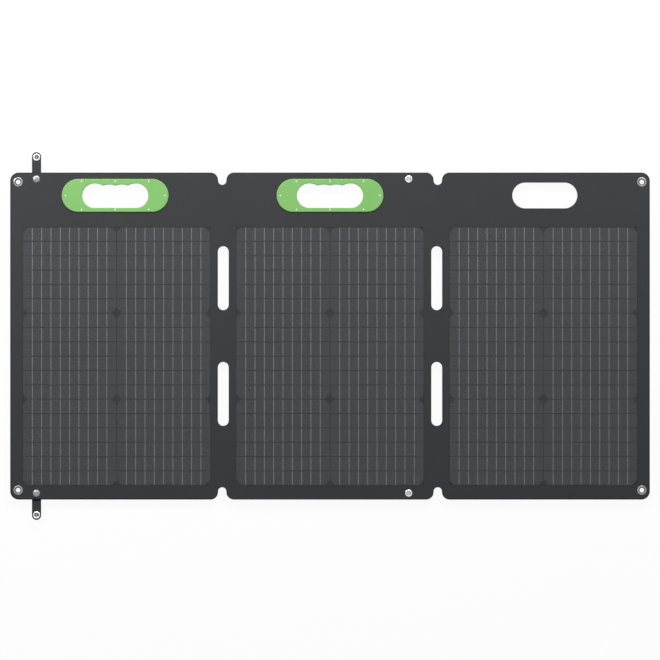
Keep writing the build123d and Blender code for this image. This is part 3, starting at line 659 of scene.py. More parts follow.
@dataclass(frozen=True)
class ClearFilm(Finish):
    """Clear matt film over the cells: fine dimples, and a faint haze that comes and goes."""

    haze: float = 0.06

    def dress(self, s: Surface) -> None:
        """Works out the shader's inputs.

        Args:
            s: The surface that takes them.
        """
        dimples = s.effect(s.effects.grain, Scale=1300.0, Softness=0.8)
        drift = s.effect(s.effects.drift, Colour=(0.07, 0.072, 0.076), Scale=13.0, Amount=0.3)
        s.bump(dimples.outputs["Height"], 0.04, 0.5)
        alpha = s.w.spread(drift.outputs["Value"], self.haze * 0.7, self.haze * 1.3, 0.3, 0.7)
        s.dress(
            Base_Color=drift.outputs["Colour"],
            Roughness=s.w.spread(dimples.outputs["Tops"], 0.45, 0.33),
            Alpha=alpha,
        )


@dataclass(frozen=True)
class Plastic(Finish):
    """Moulded plastic, resin or rubber with its own grain, and paler where its edges rub."""

    fleck: Fleck
    edge_gain: float = 1.25
    gloss: float = 0.4

    def dress(self, s: Surface) -> None:
        """Works out the shader's inputs.

        Args:
            s: The surface that takes them.
        """
        colour, scale, depth, rough = self.fleck.value
        drift = s.effect(s.effects.drift, Colour=colour, Scale=24.0, Amount=0.06)
        grain = s.effect(s.effects.grain, Scale=scale)
        edge = s.effect(s.effects.wear_and_shade, Edge=s.mark("rim"), Scale=260.0, Amount=0.35).outputs["Mask"]
        scuffs = s.effect(s.effects.hairlines, Scale=70.0).outputs["Mask"]
        pale = tinted(colour, self.edge_gain, 0.01)
        marked = s.w.math("MAXIMUM", s.w.times(edge, 0.8), s.w.times(scuffs, 0.25))
        level = s.w.spread(grain.outputs["Tops"], rough + 0.08, rough - 0.05)
        s.bump(grain.outputs["Height"], depth, 0.5)
        s.dress(
            Base_Color=s.w.mix(marked, drift.outputs["Colour"], pale),
            Roughness=s.w.minus(level, s.w.times(edge, 0.1)),
            Specular_IOR_Level=self.gloss,
        )


@dataclass(frozen=True)
class BrightMetal(Finish):
    """Plated or bare metal: hairlines on its faces, painted shade in its creases."""

    metal: Metal

    def dress(self, s: Surface) -> None:
        """Works out the shader's inputs.

        Args:
            s: The surface that takes them.
        """
        colour, rough, crease_shade = self.metal.value
        drift = s.effect(s.effects.drift, Colour=colour, Scale=90.0, Amount=0.08)
        lines = s.effect(s.effects.hairlines, Scale=420.0).outputs["Mask"]
        # painted shade: faces marked as creases, the recessed rings, are darkened towards dark and roughened
        crease = s.effect(s.effects.wear_and_shade, Edge=s.mark("crease"), Scale=700.0, Amount=0.5).outputs["Mask"]
        dark = tinted(colour, (1 - crease_shade) * 0.4)
        level = s.w.spread(lines, rough, rough + 0.14)
        s.bump(lines, 0.01, 0.4)
        s.dress(
            Base_Color=s.w.mix(crease, drift.outputs["Colour"], dark),
            Metallic=1.0,
            Roughness=s.w.plus(level, s.w.times(crease, 0.25)),
        )


@dataclass(frozen=True)
class RibbonTin(Finish):
    """Tinned ribbon under the film: dull, with small solder ripples."""

    colour: Colour = (0.22, 0.225, 0.234)

    def dress(self, s: Surface) -> None:
        """Works out the shader's inputs.

        Args:
            s: The surface that takes them.
        """
        drift = s.effect(s.effects.drift, Colour=self.colour, Scale=60.0, Amount=0.3)
        ripple = s.w.noise(s.place, 900.0, 3.0)
        s.bump(ripple, 0.03, 0.6)
        s.dress(
            Base_Color=drift.outputs["Colour"],
            Roughness=s.w.spread(ripple, 0.35, 0.6),
            Specular_IOR_Level=0.5,
        )


@dataclass(frozen=True)
class Webbing(Finish):
    """Close strap webbing: ribs along the strap with painted shade in their hollows, a selvedge at each
    side.
    """

    colour: Colour
    centre_x: float
    width: float
    ribs: int = 11

    def dress(self, s: Surface) -> None:
        """Works out the shader's inputs.

        Args:
            s: The surface that takes them.
        """
        w = s.w
        across, along = w.axes(w.node("UVMap", uv_map="strap").outputs[0])[:2]
        side = w.math("DIVIDE", w.minus(across, self.centre_x * MM), self.width * MM)
        rib = w.size(w.math("SINE", w.times(side, math.pi * self.ribs)))
        pick = w.size(w.math("SINE", w.times(along, math.pi / (1.1 * MM))))
        height = w.plus(w.times(rib, 0.7), w.times(pick, 0.3))
        selvedge = w.spread(w.size(side), 0.0, 1.0, 0.43, 0.47)
        drift = s.effect(s.effects.drift, Colour=self.colour, Scale=30.0, Amount=0.15)
        dark = tinted(self.colour, 0.55)
        # painted shade: the low places between ribs and picks are darkened towards dark
        hollow_shade = w.times(w.minus(1.0, height), 0.45)
        colour = w.mix(hollow_shade, drift.outputs["Colour"], dark)
        worn = s.effect(s.effects.wear_and_shade, Edge=selvedge, Scale=500.0, Amount=0.4).outputs["Mask"]
        s.bump(height, 0.12, 0.6)
        s.dress(
            Base_Color=w.mix(w.times(worn, 0.3), colour, tinted(self.colour, 1.5)),
            Roughness=w.spread(height, 0.8, 0.64),
            Specular_IOR_Level=0.12,
            Sheen_Weight=0.08,
            Sheen_Roughness=0.6,
        )


class Finishes:
    """Every material of the panel, built once."""

    def __init__(self, effects: Effects) -> None:
        """Builds the materials.

        Args:
            effects: The shared node groups.
        """
        dark = (0.0345, 0.0355, 0.0375)
        self.laminate = Laminate("dark_laminate", dark).build(effects)
        self.fold = Laminate("fold_laminate", dark, grain=1000.0, depth=0.07).build(effects)
        self.back = CoatedWeave("woven_back", (0.017, 0.0173, 0.018)).build(effects)
        self.strap = Webbing("strap_webbing", dark, STRAP_X, STRAP_WIDTH).build(effects)
        self.board = GlassFibre("glass_fibre_board").build(effects)
        self.cell = CellSilicon("silicon_cell").build(effects)
        self.ribbon = RibbonTin("tinned_ribbon").build(effects)
        self.film = ClearFilm("clear_film").build(effects)
        self.underlay = Plastic("dark_underlay", Fleck.UNDERLAY, gloss=0.12).build(effects)
        self.green = Plastic("green_plastic", Fleck.GREEN, 1.12).build(effects)
        self.box = Plastic("box_plastic", Fleck.BOX, 1.8).build(effects)
        self.rubber = Plastic("seal_rubber", Fleck.RUBBER).build(effects)
        self.diode = Plastic("diode_plastic", Fleck.DIODE).build(effects)
        self.circuit = Plastic("circuit_laminate", Fleck.CIRCUIT).build(effects)
        self.nickel = BrightMetal("nickel_steel", Metal.NICKEL).build(effects)
        self.silver = BrightMetal("bright_steel", Metal.SILVER).build(effects)
        self.copper = BrightMetal("copper", Metal.COPPER).build(effects)


# ---- mesh tools --------------------------------------------------------------------------


class Bench:
    """One mesh on the bench, from a bare bmesh to a named piece that rides on a body."""

    def __init__(self, source: bpy.types.Object | None = None) -> None:
        """Starts empty, or from a merged copy of a frame node.

        Args:
            source: The node to copy.
        """
        self.bm = bmesh.new()
        if source is not None:
            self.bm.from_mesh(source.data)
        for mark in MARKS:
            self.bm.faces.layers.float.new(mark)
        if source is not None:
            self.merge()
            bmesh.ops.dissolve_limit(
                self.bm, angle_limit=math.radians(FLAT), verts=self.bm.verts, edges=self.bm.edges
            )

    def merge(self) -> None:
        """Merges vertices that share a place."""
        bmesh.ops.remove_doubles(self.bm, verts=self.bm.verts, dist=MERGE)

    def outward(self) -> None:
        """Merges, then turns all faces outwards."""
        self.merge()
        bmesh.ops.recalc_face_normals(self.bm, faces=self.bm.faces)

    def mark_faces(self, name: str, faces: Iterable[Face]) -> None:
        """Marks some faces for a finish to read.

        Args:
            name: The attribute's name.
            faces: The faces.
        """
        layer = self.bm.faces.layers.float[name]
        for face in faces:
            face[layer] = 1.0

    def round_edges(
        self, edges: Iterable[Edge], width: float, steps: int = 3, mark: str | None = "rim"
    ) -> None:
        """Bevels edges.

        Args:
            edges: The edges.
            width: The bevel's width in mm.
            steps: Its segments.
            mark: The attribute written on the new faces, if any.
        """
        made = bmesh.ops.bevel(
            self.bm,
            geom=list(edges),
            offset=width * MM,
            offset_type="OFFSET",
            segments=steps,
            profile=0.5,
            affect="EDGES",
            material=-1,
            clamp_overlap=True,
        )
        if mark:
            self.mark_faces(mark, made["faces"])

    def sharp_edges(self, angle: float = 40.0) -> list[Edge]:
        """Edges where two faces meet at more than an angle in degrees."""
        least = math.radians(angle)
        return [e for e in self.bm.edges if len(e.link_faces) == 2 and e.calc_face_angle(0.0) > least]

    def turn(
        self,
        outline: Outline,
        places: Sequence[Place],
        closed: bool = True,
        creases: Iterable[tuple[float, float]] = (),
    ) -> None:
        """Spins an outline round an upright line at each place.

        Args:
            outline: Radius and height of each corner, in mm.
            places: Each line's foot, in mm.
            closed: Whether the outline's ends join.
            creases: Pairs of radii, in mm, between which faces are marked as creases.
        """
        feet = [Vector(place) * MM for place in places]
        for foot in feet:
            verts = [self.bm.verts.new(foot + Vector((r, 0.0, z)) * MM) for r, z in outline]
            pairs = list(zip(verts, verts[1:] + (verts[:1] if closed else [])))
            edges = [self.bm.edges.new(pair) for pair in pairs[: None if closed else len(verts) - 1]]
            bmesh.ops.spin(
                self.bm,
                geom=verts + edges,
                cent=foot,
                axis=(0.0, 0.0, 1.0),
                angle=2 * math.pi,
                steps=ROUND_STEPS,
                use_merge=True,
            )
        self.outward()
        for low, high in creases:
            found = []
            for face in self.bm.faces:
                centre = face.calc_center_median()
                away = min((centre - foot).xy.length for foot in feet) / MM
                if low <= away <= high:
                    found.append(face)
            self.mark_faces("crease", found)

    def cut(self, normal: Place, points: Iterable[Place]) -> None:
        """Bisects the mesh with parallel planes.

        Args:
            normal: The planes' direction.
            points: A point on each, in mm.
        """
        for point in points:
            geometry = [*self.bm.verts, *self.bm.edges, *self.bm.faces]
            place = Vector(point) * MM
            bmesh.ops.bisect_plane(self.bm, geom=geometry, plane_co=place, plane_no=normal, dist=0.1 * SNUG)

    def piece(
        self,
        name: str,
        material: bpy.types.Material,
        slot: str,
        nodes: Sequence[str],
        smooth: float = 35.0,
        flat: bool = True,
    ) -> bpy.types.Object:
        """Makes the object.

        Args:
            name: The piece's name.
            material: Its finish.
            slot: A material slot's name; not used.
            nodes: The frame nodes that it stands for.
            smooth: Faces that meet at less than this many degrees are shaded as one.
            flat: Whether level faces are shaded flat.

        Returns:
            The object, on no body yet.
        """
        mesh = bpy.data.meshes.new(name)
        self.bm.normal_update()
        self.bm.to_mesh(mesh)
        self.bm.free()
        mesh.shade_smooth()
        mesh.set_sharp_from_angle(angle=math.radians(smooth))
        for face in mesh.polygons:
            face.use_smooth = not (flat and abs(face.normal.z) > LEVEL)
        mesh.materials.append(material)
        made = bpy.data.objects.new(name, mesh)
        bpy.context.scene.collection.objects.link(made)
        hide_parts(*nodes)
        LOG.info("piece %s: %d faces, stands for %s", name, len(mesh.polygons), ", ".join(nodes))
        return made


def paint(node: bpy.types.Object, material: bpy.types.Material) -> None:
    """Gives a frame node its finish.

    Args:
        node: The node's object.
        material: The finish.
    """
    if node.material_slots:
        for held in node.material_slots:
            held.material = material
    else:
        node.data.materials.append(material)
    LOG.info("frame node %s: finish %s", node.name, material.name)


# ---- sub-assemblies ----------------------------------------------------------------------


@dataclass
class Assembly:
    """What every sub-assembly works with: the frame's nodes and the finishes."""

    nodes: Nodes
    finishes: Finishes


@dataclass
class CellField(Assembly):
    """The laminated layers of the three panels, with their cells."""

    cover_step: float = 0.9
    web_half_height: float = 275.9
    rim_width: float = 1.9

    def build(self) -> None:
        """Builds the covers and dresses the layers."""
        layers = {
            "back_skin": self.finishes.back,
            "board": self.finishes.board,
            "underlay": self.finishes.underlay,
            "cell_strips": self.finishes.cell,
            "cell_ribbons": self.finishes.ribbon,
            "clear_film": self.finishes.film,
            "bus_bars": self.finishes.copper,
        }
        for panel in Panel:
            self._cover(panel)
            for layer, finish in layers.items():
                paint(self.nodes[f"{panel.value}_{layer}"], finish)

    def _on_fold(self, edge: Edge) -> bool:
        """Tells whether an edge runs along a fold web's side, where the sheet goes on.

        Args:
            edge: The edge.

        Returns:
            Whether it does.
        """
        sides = [(SLOT_X + way * WEB_WIDTH / 2) * MM for way in (-1, 1)]
        reach = self.web_half_height * MM + 2 * NEAR
        return all(
            min(abs(abs(v.co.x) - side) for side in sides) < NEAR and abs(v.co.y) < reach
            for v in edge.verts
        )

    def _cover(self, panel: Panel) -> None:
        """Makes one panel's front cover with a rounded rim, whose faces are marked for painted edge shade.

        Args:
            panel: Which panel.
        """
        name = f"{panel.value}_front_cover"
        bench = Bench(self.nodes[name])
        top = SHEET_TOP * MM
        chosen = [
            e
            for e in bench.sharp_edges(STEEP)
            if all(abs(v.co.z - top) < CLOSE for v in e.verts)
            and any(f.calc_center_median().z < top - self.cover_step * MM for f in e.link_faces)
            and not self._on_fold(e)
        ]
        bench.round_edges(chosen, self.rim_width)
        made = bench.piece(f"{panel.value}_cover", self.finishes.laminate, "dark_laminate", (name,))
        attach(made, f"{panel.value}_panel")


@dataclass
class FoldWeb(Assembly):
    """The flexible strips between two panels, and the copper inside them."""

    panel: Panel
    axis_x: float
    rows: int = 18

    @property
    def way(self) -> float:
        """1 for the right fold, -1 for the left."""
        return math.copysign(1.0, self.axis_x)

    @property
    def sides(self) -> tuple[float, float]:
        """The web's side by the middle panel and its other side, in mm."""
        return tuple(self.way * (SLOT_X + side * WEB_WIDTH / 2) for side in (-1, 1))

    def build(self) -> None:
        """Builds the web's three strips and the copper strips that cross them."""
        name = f"{self.panel.value}_fold_web"
        bench = self._strips(name, range(1, self.rows))
        under = SHEET_TOP * MM - CLOSE
        tops = [f for f in bench.bm.faces if f.normal.z > UPWARD and f.calc_center_median().z > under]
        area = sum(f.calc_area() for f in tops)
        word, finish = f"{self.panel.value}_web", self.finishes.fold
        made = bench.piece(word, finish, "fold_laminate", (name,), flat=False)
        self._bend(made)
        name = f"{self.panel.value}_fold_bus"
        bench = self._strips(name, range(self.rows + 1))
        word, finish = f"{self.panel.value}_fold_copper", self.finishes.copper
        self._bend(bench.piece(word, finish, "copper", (name,), flat=False))

    def _strips(self, name: str, rows: Iterable[int]) -> Bench:
        """Cuts a node across, row by row, so that it bends smoothly.

        Args:
            name: The node.
            rows: The rows' numbers, from the middle panel outwards.

        Returns:
            The node's mesh.
        """
        near, far = self.sides
        step = (far - near) / self.rows
        bench = Bench(self.nodes[name])
        bench.cut((1.0, 0.0, 0.0), [(near + step * row, 0.0, 0.0) for row in rows])
        return bench

    def _bend(self, made: bpy.types.Object) -> None:
        """Lets a piece bend evenly about its fold.

        Args:
            made: The piece.
        """
        near, far = self.sides
        reach = min(abs(self.axis_x - near), abs(far - self.axis_x))
        ends = (self.axis_x - self.way * reach, self.axis_x + self.way * reach)
        start, end = (Vector((x, 0.0, SHEET_TOP)) * MM for x in ends)
        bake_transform(made, "middle_panel", f"{self.panel.value}_panel", start, end)


@dataclass
class Handle(Assembly):
    """One carrying handle: its moulded front and back halves and their eight screws."""

    panel: Panel
    centre_x: float
    centre_y: float = 252.7
    screw_x: float = 60.3
    screw_y: float = 25.3
    end_x: float = 89.4
    head_top: float = 14.8
    screw_foot: float = 4.0
    worn_slope: tuple[float, float] = (0.15, 0.95)
    smooth: float = 50.0

    def build(self) -> None:
        """Builds both halves and the screws."""
        body, green = f"{self.panel.value}_panel", self.finishes.green
        low, high = self.worn_slope
        for half in ("front", "back"):
            name = f"{self.panel.value}_handle_{half}"
            bench = Bench(self.nodes[name])
            bench.mark_faces("rim", [f for f in bench.bm.faces if low < abs(f.normal.z) < high])
            word = f"{self.panel.value}_grip_{half}"
            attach(bench.piece(word, green, "green_plastic", (name,), self.smooth), body)
        name = f"{self.panel.value}_handle_screws"
        bench = Bench()
        places = [(x * self.screw_x, y * self.screw_y) for x in (-1, 0, 1) for y in (-1, 1)]
        places += [(-self.end_x, 0.0), (self.end_x, 0.0)]
        screw = CrossScrew(self.head_top, self.head_top - self.screw_foot)
        for x, y in places:
            screw.add(bench, (self.centre_x + x, self.centre_y + y), 0.0)
        word, silver = f"{self.panel.value}_grip_screws", self.finishes.silver
        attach(bench.piece(word, silver, "nickel_steel", (name,)), body)


@dataclass
class CrossScrew:
    """Small pan-head screw with a cross recess, head up or down."""

    top: float
    length: float
    head_r: float = 1.6
    head_t: float = 0.8
    shank_r: float = 0.95
    dome: float = 0.28
    recess: float = 0.45
    recess_wall: float = 0.05
    arm_half: float = 0.45
    arm_reach: float = 0.66
    tip_share: float = 0.6
    cells: int = 5

    def add(self, bench: Bench, place: tuple[float, float], turn: float, way: float = 1.0) -> None:
        """Adds one screw to a mesh.

        Args:
            bench: The mesh.
            place: Where its axis stands, in mm.
            turn: The recess's turn in degrees.
            way: 1 for a head on top, -1 for one below.
        """
        bm = bmesh.new()
        core, size = 0.5, 0.5 * self.cells
        bmesh.ops.create_grid(bm, x_segments=self.cells, y_segments=self.cells, size=size)
        for v in bm.verts:
            ring = max(abs(v.co.x), abs(v.co.y))
            roundness = (ring - core) / (size - core)
            v.co.xy = v.co.xy.lerp(v.co.xy.normalized() * ring, roundness)
            v.co.xy *= self.head_r / size
            v.co.z = -self.dome * (v.co.xy.length / self.head_r) ** 2
        arms = [f for f in bm.faces if self._in_cross(f)]
        rim = [e for e in bm.edges if e.is_boundary]
        bmesh.ops.inset_region(bm, faces=arms, thickness=self.recess_wall, depth=0.0)
        for v in {v for f in arms for v in f.verts}:
            v.co.z -= self.recess
        tip = self.shank_r * self.tip_share
        for drop, radius in ((self.head_t, self.head_r), (self.head_t, self.shank_r), (self.length, tip)):
            made = bmesh.ops.extrude_edge_only(bm, edges=rim)
            verts = [g for g in made["geom"] if isinstance(g, bmesh.types.BMVert)]
            rim = [g for g in made["geom"] if isinstance(g, Edge)]
            for v in verts:
                v.co = Vector((*(v.co.xy.normalized() * radius), -drop))
        bmesh.ops.contextual_create(bm, geom=rim)
        bmesh.ops.recalc_face_normals(bm, faces=bm.faces)
        spot = Matrix.Translation(Vector((*place, self.top)))
        place_in = spot @ Matrix.Rotation(math.radians(turn), 4, "Z")
        if way < 0:
            place_in = place_in @ Matrix.Rotation(math.pi, 4, "X")
        bmesh.ops.transform(bm, matrix=Matrix.Scale(MM, 4) @ place_in, verts=bm.verts)
        mesh = bpy.data.meshes.new("screw_scrap")
        bm.to_mesh(mesh)
        bm.free()
        bench.bm.from_mesh(mesh)
        bpy.data.meshes.remove(mesh)

    def _in_cross(self, face: Face) -> bool:
        """Tells whether a face of the head belongs to its cross recess.

        Args:
            face: The face.

        Returns:
            Whether it does.
        """
        centre = face.calc_center_median()
        half = self.arm_half * self.head_r / (0.5 * self.cells)
        low, high = sorted((abs(centre.x), abs(centre.y)))
        return low < half and high < self.head_r * self.arm_reach


@dataclass
class Hardware(Assembly):
    """Eyelets, rivets and snaps in the sheet. Outlines are radii and heights above the floor, in mm."""

    eyelet_x: float = 560.6
    eyelet_y: float = 277.0
    stud_x: float = 141.5
    ring: Outline = (
        (4.1, 9.3), (4.1, 12.6), (4.25, 13.0), (4.7, 13.2), (5.3, 13.28), (5.9, 13.4), (6.5, 13.56),
        (7.2, 13.6), (7.8, 13.5), (8.2, 13.3), (8.35, 13.02), (4.6, 13.02), (4.6, 9.75), (5.3, 9.45),
        (5.7, 9.4), (5.5, 9.15), (4.8, 9.1),
    )
    washer: Outline = (
        (4.65, 9.98), (4.65, 9.8), (5.4, 9.5), (6.4, 9.4), (7.6, 9.45), (8.2, 9.65), (8.35, 9.98),
    )
    rivet: Outline = (
        (0.0, 14.7), (1.2, 14.67), (2.4, 14.55), (3.5, 14.33), (4.5, 14.02), (5.3, 13.65), (5.8, 13.35),
        (6.3, 13.3), (6.3, 13.02), (1.6, 13.02), (1.6, 8.5), (0.0, 8.5),
    )
    plate: Outline = (
        (0.0, 7.95), (1.7, 7.95), (2.1, 7.75), (4.4, 7.7), (5.0, 7.9), (5.2, 8.2), (5.2, 8.48), (0.0, 8.48),
    )
    post: Outline = (
        (0.0, 13.35), (0.9, 13.38), (1.3, 13.75), (2.0, 13.85), (2.5, 13.7), (2.9, 13.48), (3.6, 13.46),
        (4.1, 13.62), (4.6, 13.86), (5.3, 13.9), (5.9, 13.75), (6.25, 13.45), (6.3, 13.02), (1.6, 13.02),
        (1.6, 10.0), (0.0, 10.0),
    )
    stud: Outline = (
        (0.0, 8.4), (0.8, 8.35), (1.1, 8.05), (1.6, 8.06), (1.95, 8.3), (1.95, 8.7), (1.75, 9.0),
        (1.8, 9.45), (2.6, 9.62), (4.4, 9.62), (5.0, 9.7), (5.2, 9.98), (0.0, 9.98),
    )

    def build(self) -> None:
        """Builds every piece of sheet hardware, a pair at a time."""
        nickel, silver = self.finishes.nickel, self.finishes.silver
        rivet, stud, wells = (STRAP_X, SNAP_Y), (self.stud_x, SNAP_Y), ((0.0, 1.1), (2.6, 4.2))
        for side, x in (("left", -self.eyelet_x), ("right", self.eyelet_x)):
            eyelet, body = (x, self.eyelet_y), f"{side}_panel"
            names = (f"{side}_rings", f"{side}_eyelets")
            self._pair(*names, eyelet, self.ring, ((4.3, 6.1),), nickel, body, True)
            names = (f"{side}_washer_rings", f"{side}_eyelet_washers")
            self._pair(*names, eyelet, self.washer, (), nickel, body, True)
        rows = (
            ("rivet_caps", "strap_rivet_domes", rivet, self.rivet, ((5.4, 5.9),), nickel, "left_panel"),
            ("rivet_backs", "strap_rivet_plates", rivet, self.plate, ((1.6, 2.2),), nickel, "left_panel"),
            ("snap_rings", "snap_stud_posts", stud, self.post, wells, silver, "middle_panel"),
            ("snap_knobs", "snap_studs", stud, self.stud, wells, silver, "middle_panel"),
        )
        for row in rows:
            self._pair(*row)

    def _pair(
        self,
        word: str,
        node: str,
        place: tuple[float, float],
        outline: Outline,
        creases: Iterable[tuple[float, float]],
        metal: bpy.types.Material,
        body: str,
        closed: bool = False,
    ) -> None:
        """Turns an outline at a place and at its mirror place across the panel.

        Args:
            word: The piece's name.
            node: The frame node that it stands for.
            place: X and Y of the upper one, in mm.
            outline: The outline.
            creases: Pairs of radii between which the faces are creases.
            metal: The finish.
            body: The body that it rides on.
            closed: Whether the outline's ends join.
        """
        x, y = place
        bench = Bench()
        bench.turn(outline, [(x, y, 0.0), (x, -y, 0.0)], closed, creases)
        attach(bench.piece(word, metal, "nickel_steel", (node,)), body)


@dataclass
class ClosingStrap(Assembly):
    """One closing strap with the snap at its end: a root under the rivet, a span and a rounded tip."""

    strap: Strap
    x: float = STRAP_X
    width: float = STRAP_WIDTH
    thickness: float = 1.5
    inner_z: float = 10.0
    root_y: float = 271.3
    bend_y: float = 294.3
    tip_bend_y: float = 309.8
    tip_y: float = 330.7
    snap_y: float = 321.7
    bend_reach: float = 3.0
    row: float = 0.75
    edge_r: float = 0.3
    tip_steps: int = 20
    socket: Outline = (
        (2.35, 10.3), (2.35, 11.15), (2.6, 11.4), (3.1, 11.35), (3.4, 10.9), (4.1, 10.85), (4.5, 11.25),
        (5.1, 11.5), (5.7, 11.3), (6.25, 10.8), (6.35, 10.02), (2.35, 10.02),
    )
    cap: Outline = (
        (0.0, 10.05), (0.9, 10.03), (1.6, 9.85), (1.6, 8.48), (6.35, 8.48), (6.35, 8.1), (6.0, 7.75),
        (5.0, 7.5), (3.6, 7.36), (2.0, 7.31), (0.0, 7.3),
    )

    def build(self) -> None:
        """Builds the strap's two bending pieces and its snap."""
        word, way = f"{self.strap.word}_strap", self.strap.value
        roots = ("strap_roots",) if self.strap is Strap.TOP else ()
        middle_y, middle = self.joint_y, f"{word}_middle"
        inner = (self.root_y, middle_y, self.bend_y, "left_panel", middle, (f"{word}_span", *roots))
        outer = (middle_y, self.tip_y, self.tip_bend_y, middle, f"{word}_end", (f"{word}_tip",))
        webbing = self.finishes.strap
        for part, row in (("inner", inner), ("outer", outer)):
            start, end, bend, first, second, stands_for = row
            bench = self._ribbon(start, end, part == "outer")
            made = bench.piece(f"{word}_{part}", webbing, "strap_webbing", stands_for, flat=False)
            reach = (-self.bend_reach, self.bend_reach)
            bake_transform(made, first, second, *(self._at(0.0, way * (bend + d)) for d in reach))
        self._snap()

    @property
    def joint_y(self) -> float:
        """Where the strap's two pieces meet, in mm from the panel's middle."""
        return (self.bend_y + self.tip_bend_y) / 2

    def _at(self, dx: float, y: float) -> Vector:
        """A place on the strap's inner face, in metres."""
        return Vector((self.x + dx, y, self.inner_z)) * MM

    def _ribbon(self, start: float, end: float, rounded: bool) -> Bench:
        """Makes one stretch of strap.

        Args:
            start: Where it starts, in mm from the panel's middle.
            end: Where it ends.
            rounded: Whether its end is round.

        Returns:
            The stretch's mesh.
        """
        way, half = self.strap.value, self.width / 2
        bench = Bench()
        bm = bench.bm
        straight = way * (end - half if rounded else end)
        near = (self._at(-half, way * start), self._at(half, way * start), self._at(half, straight))
        corners = [bm.verts.new(place) for place in near]
        far = self._at(-half, straight)
        if rounded:
            centre = self._at(0.0, straight)
            bmesh.ops.spin(
                bm,
                geom=[corners[2]],
                cent=centre,
                axis=(0.0, 0.0, 1.0),
                angle=way * math.pi,
                steps=self.tip_steps,
            )
            bm.edges.new((corners[0], corners[1]))
            bm.edges.new((corners[1], corners[2]))
            last = min(bm.verts, key=lambda v: (v.co - far).length)
            bm.edges.new((last, corners[0]))
            bmesh.ops.contextual_create(bm, geom=list(bm.edges))
        else:
            bm.faces.new((*corners, bm.verts.new(far)))
        rows = int((end - start) / self.row)
        bench.cut((0.0, 1.0, 0.0), [(0.0, way * (start + self.row * i), 0.0) for i in range(1, rows + 1)])
        made = bmesh.ops.extrude_face_region(bm, geom=list(bm.faces))
        lowered = [g for g in made["geom"] if isinstance(g, bmesh.types.BMVert)]
        bmesh.ops.translate(bm, vec=(0.0, 0.0, -self.thickness * MM), verts=lowered)
        bench.outward()
        joint = way * self.joint_y * MM
        sides = [e for e in bench.sharp_edges() if not all(abs(v.co.y - joint) < SNUG for v in e.verts)]
        sides = [e for e in sides if abs((e.verts[0].co - e.verts[1].co).z) < SNUG]
        bench.round_edges(sides, self.edge_r, 2, None)
        flat = bm.loops.layers.uv.new("strap")
        for face in bm.faces:
            for loop in face.loops:
                loop[flat].uv = loop.vert.co.xy
        return bench

    def _snap(self) -> None:
        """Makes the snap socket on the strap's inner face and the cap on its outer face."""
        word, place = self.strap.word, (self.x, self.strap.value * self.snap_y, 0.0)
        rows = (
            ("socket_ring", self.socket, True, ((2.7, 4.3),), f"{word}_snap_socket"),
            ("snap_button", self.cap, False, (), f"{word}_snap_cap"),
        )
        for part, outline, closed, creases, node in rows:
            bench = Bench()
            bench.turn(outline, [place], closed, creases)
            made = bench.piece(f"{word}_{part}", self.finishes.silver, "nickel_steel", (node,))
            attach(made, f"{word}_strap_end")


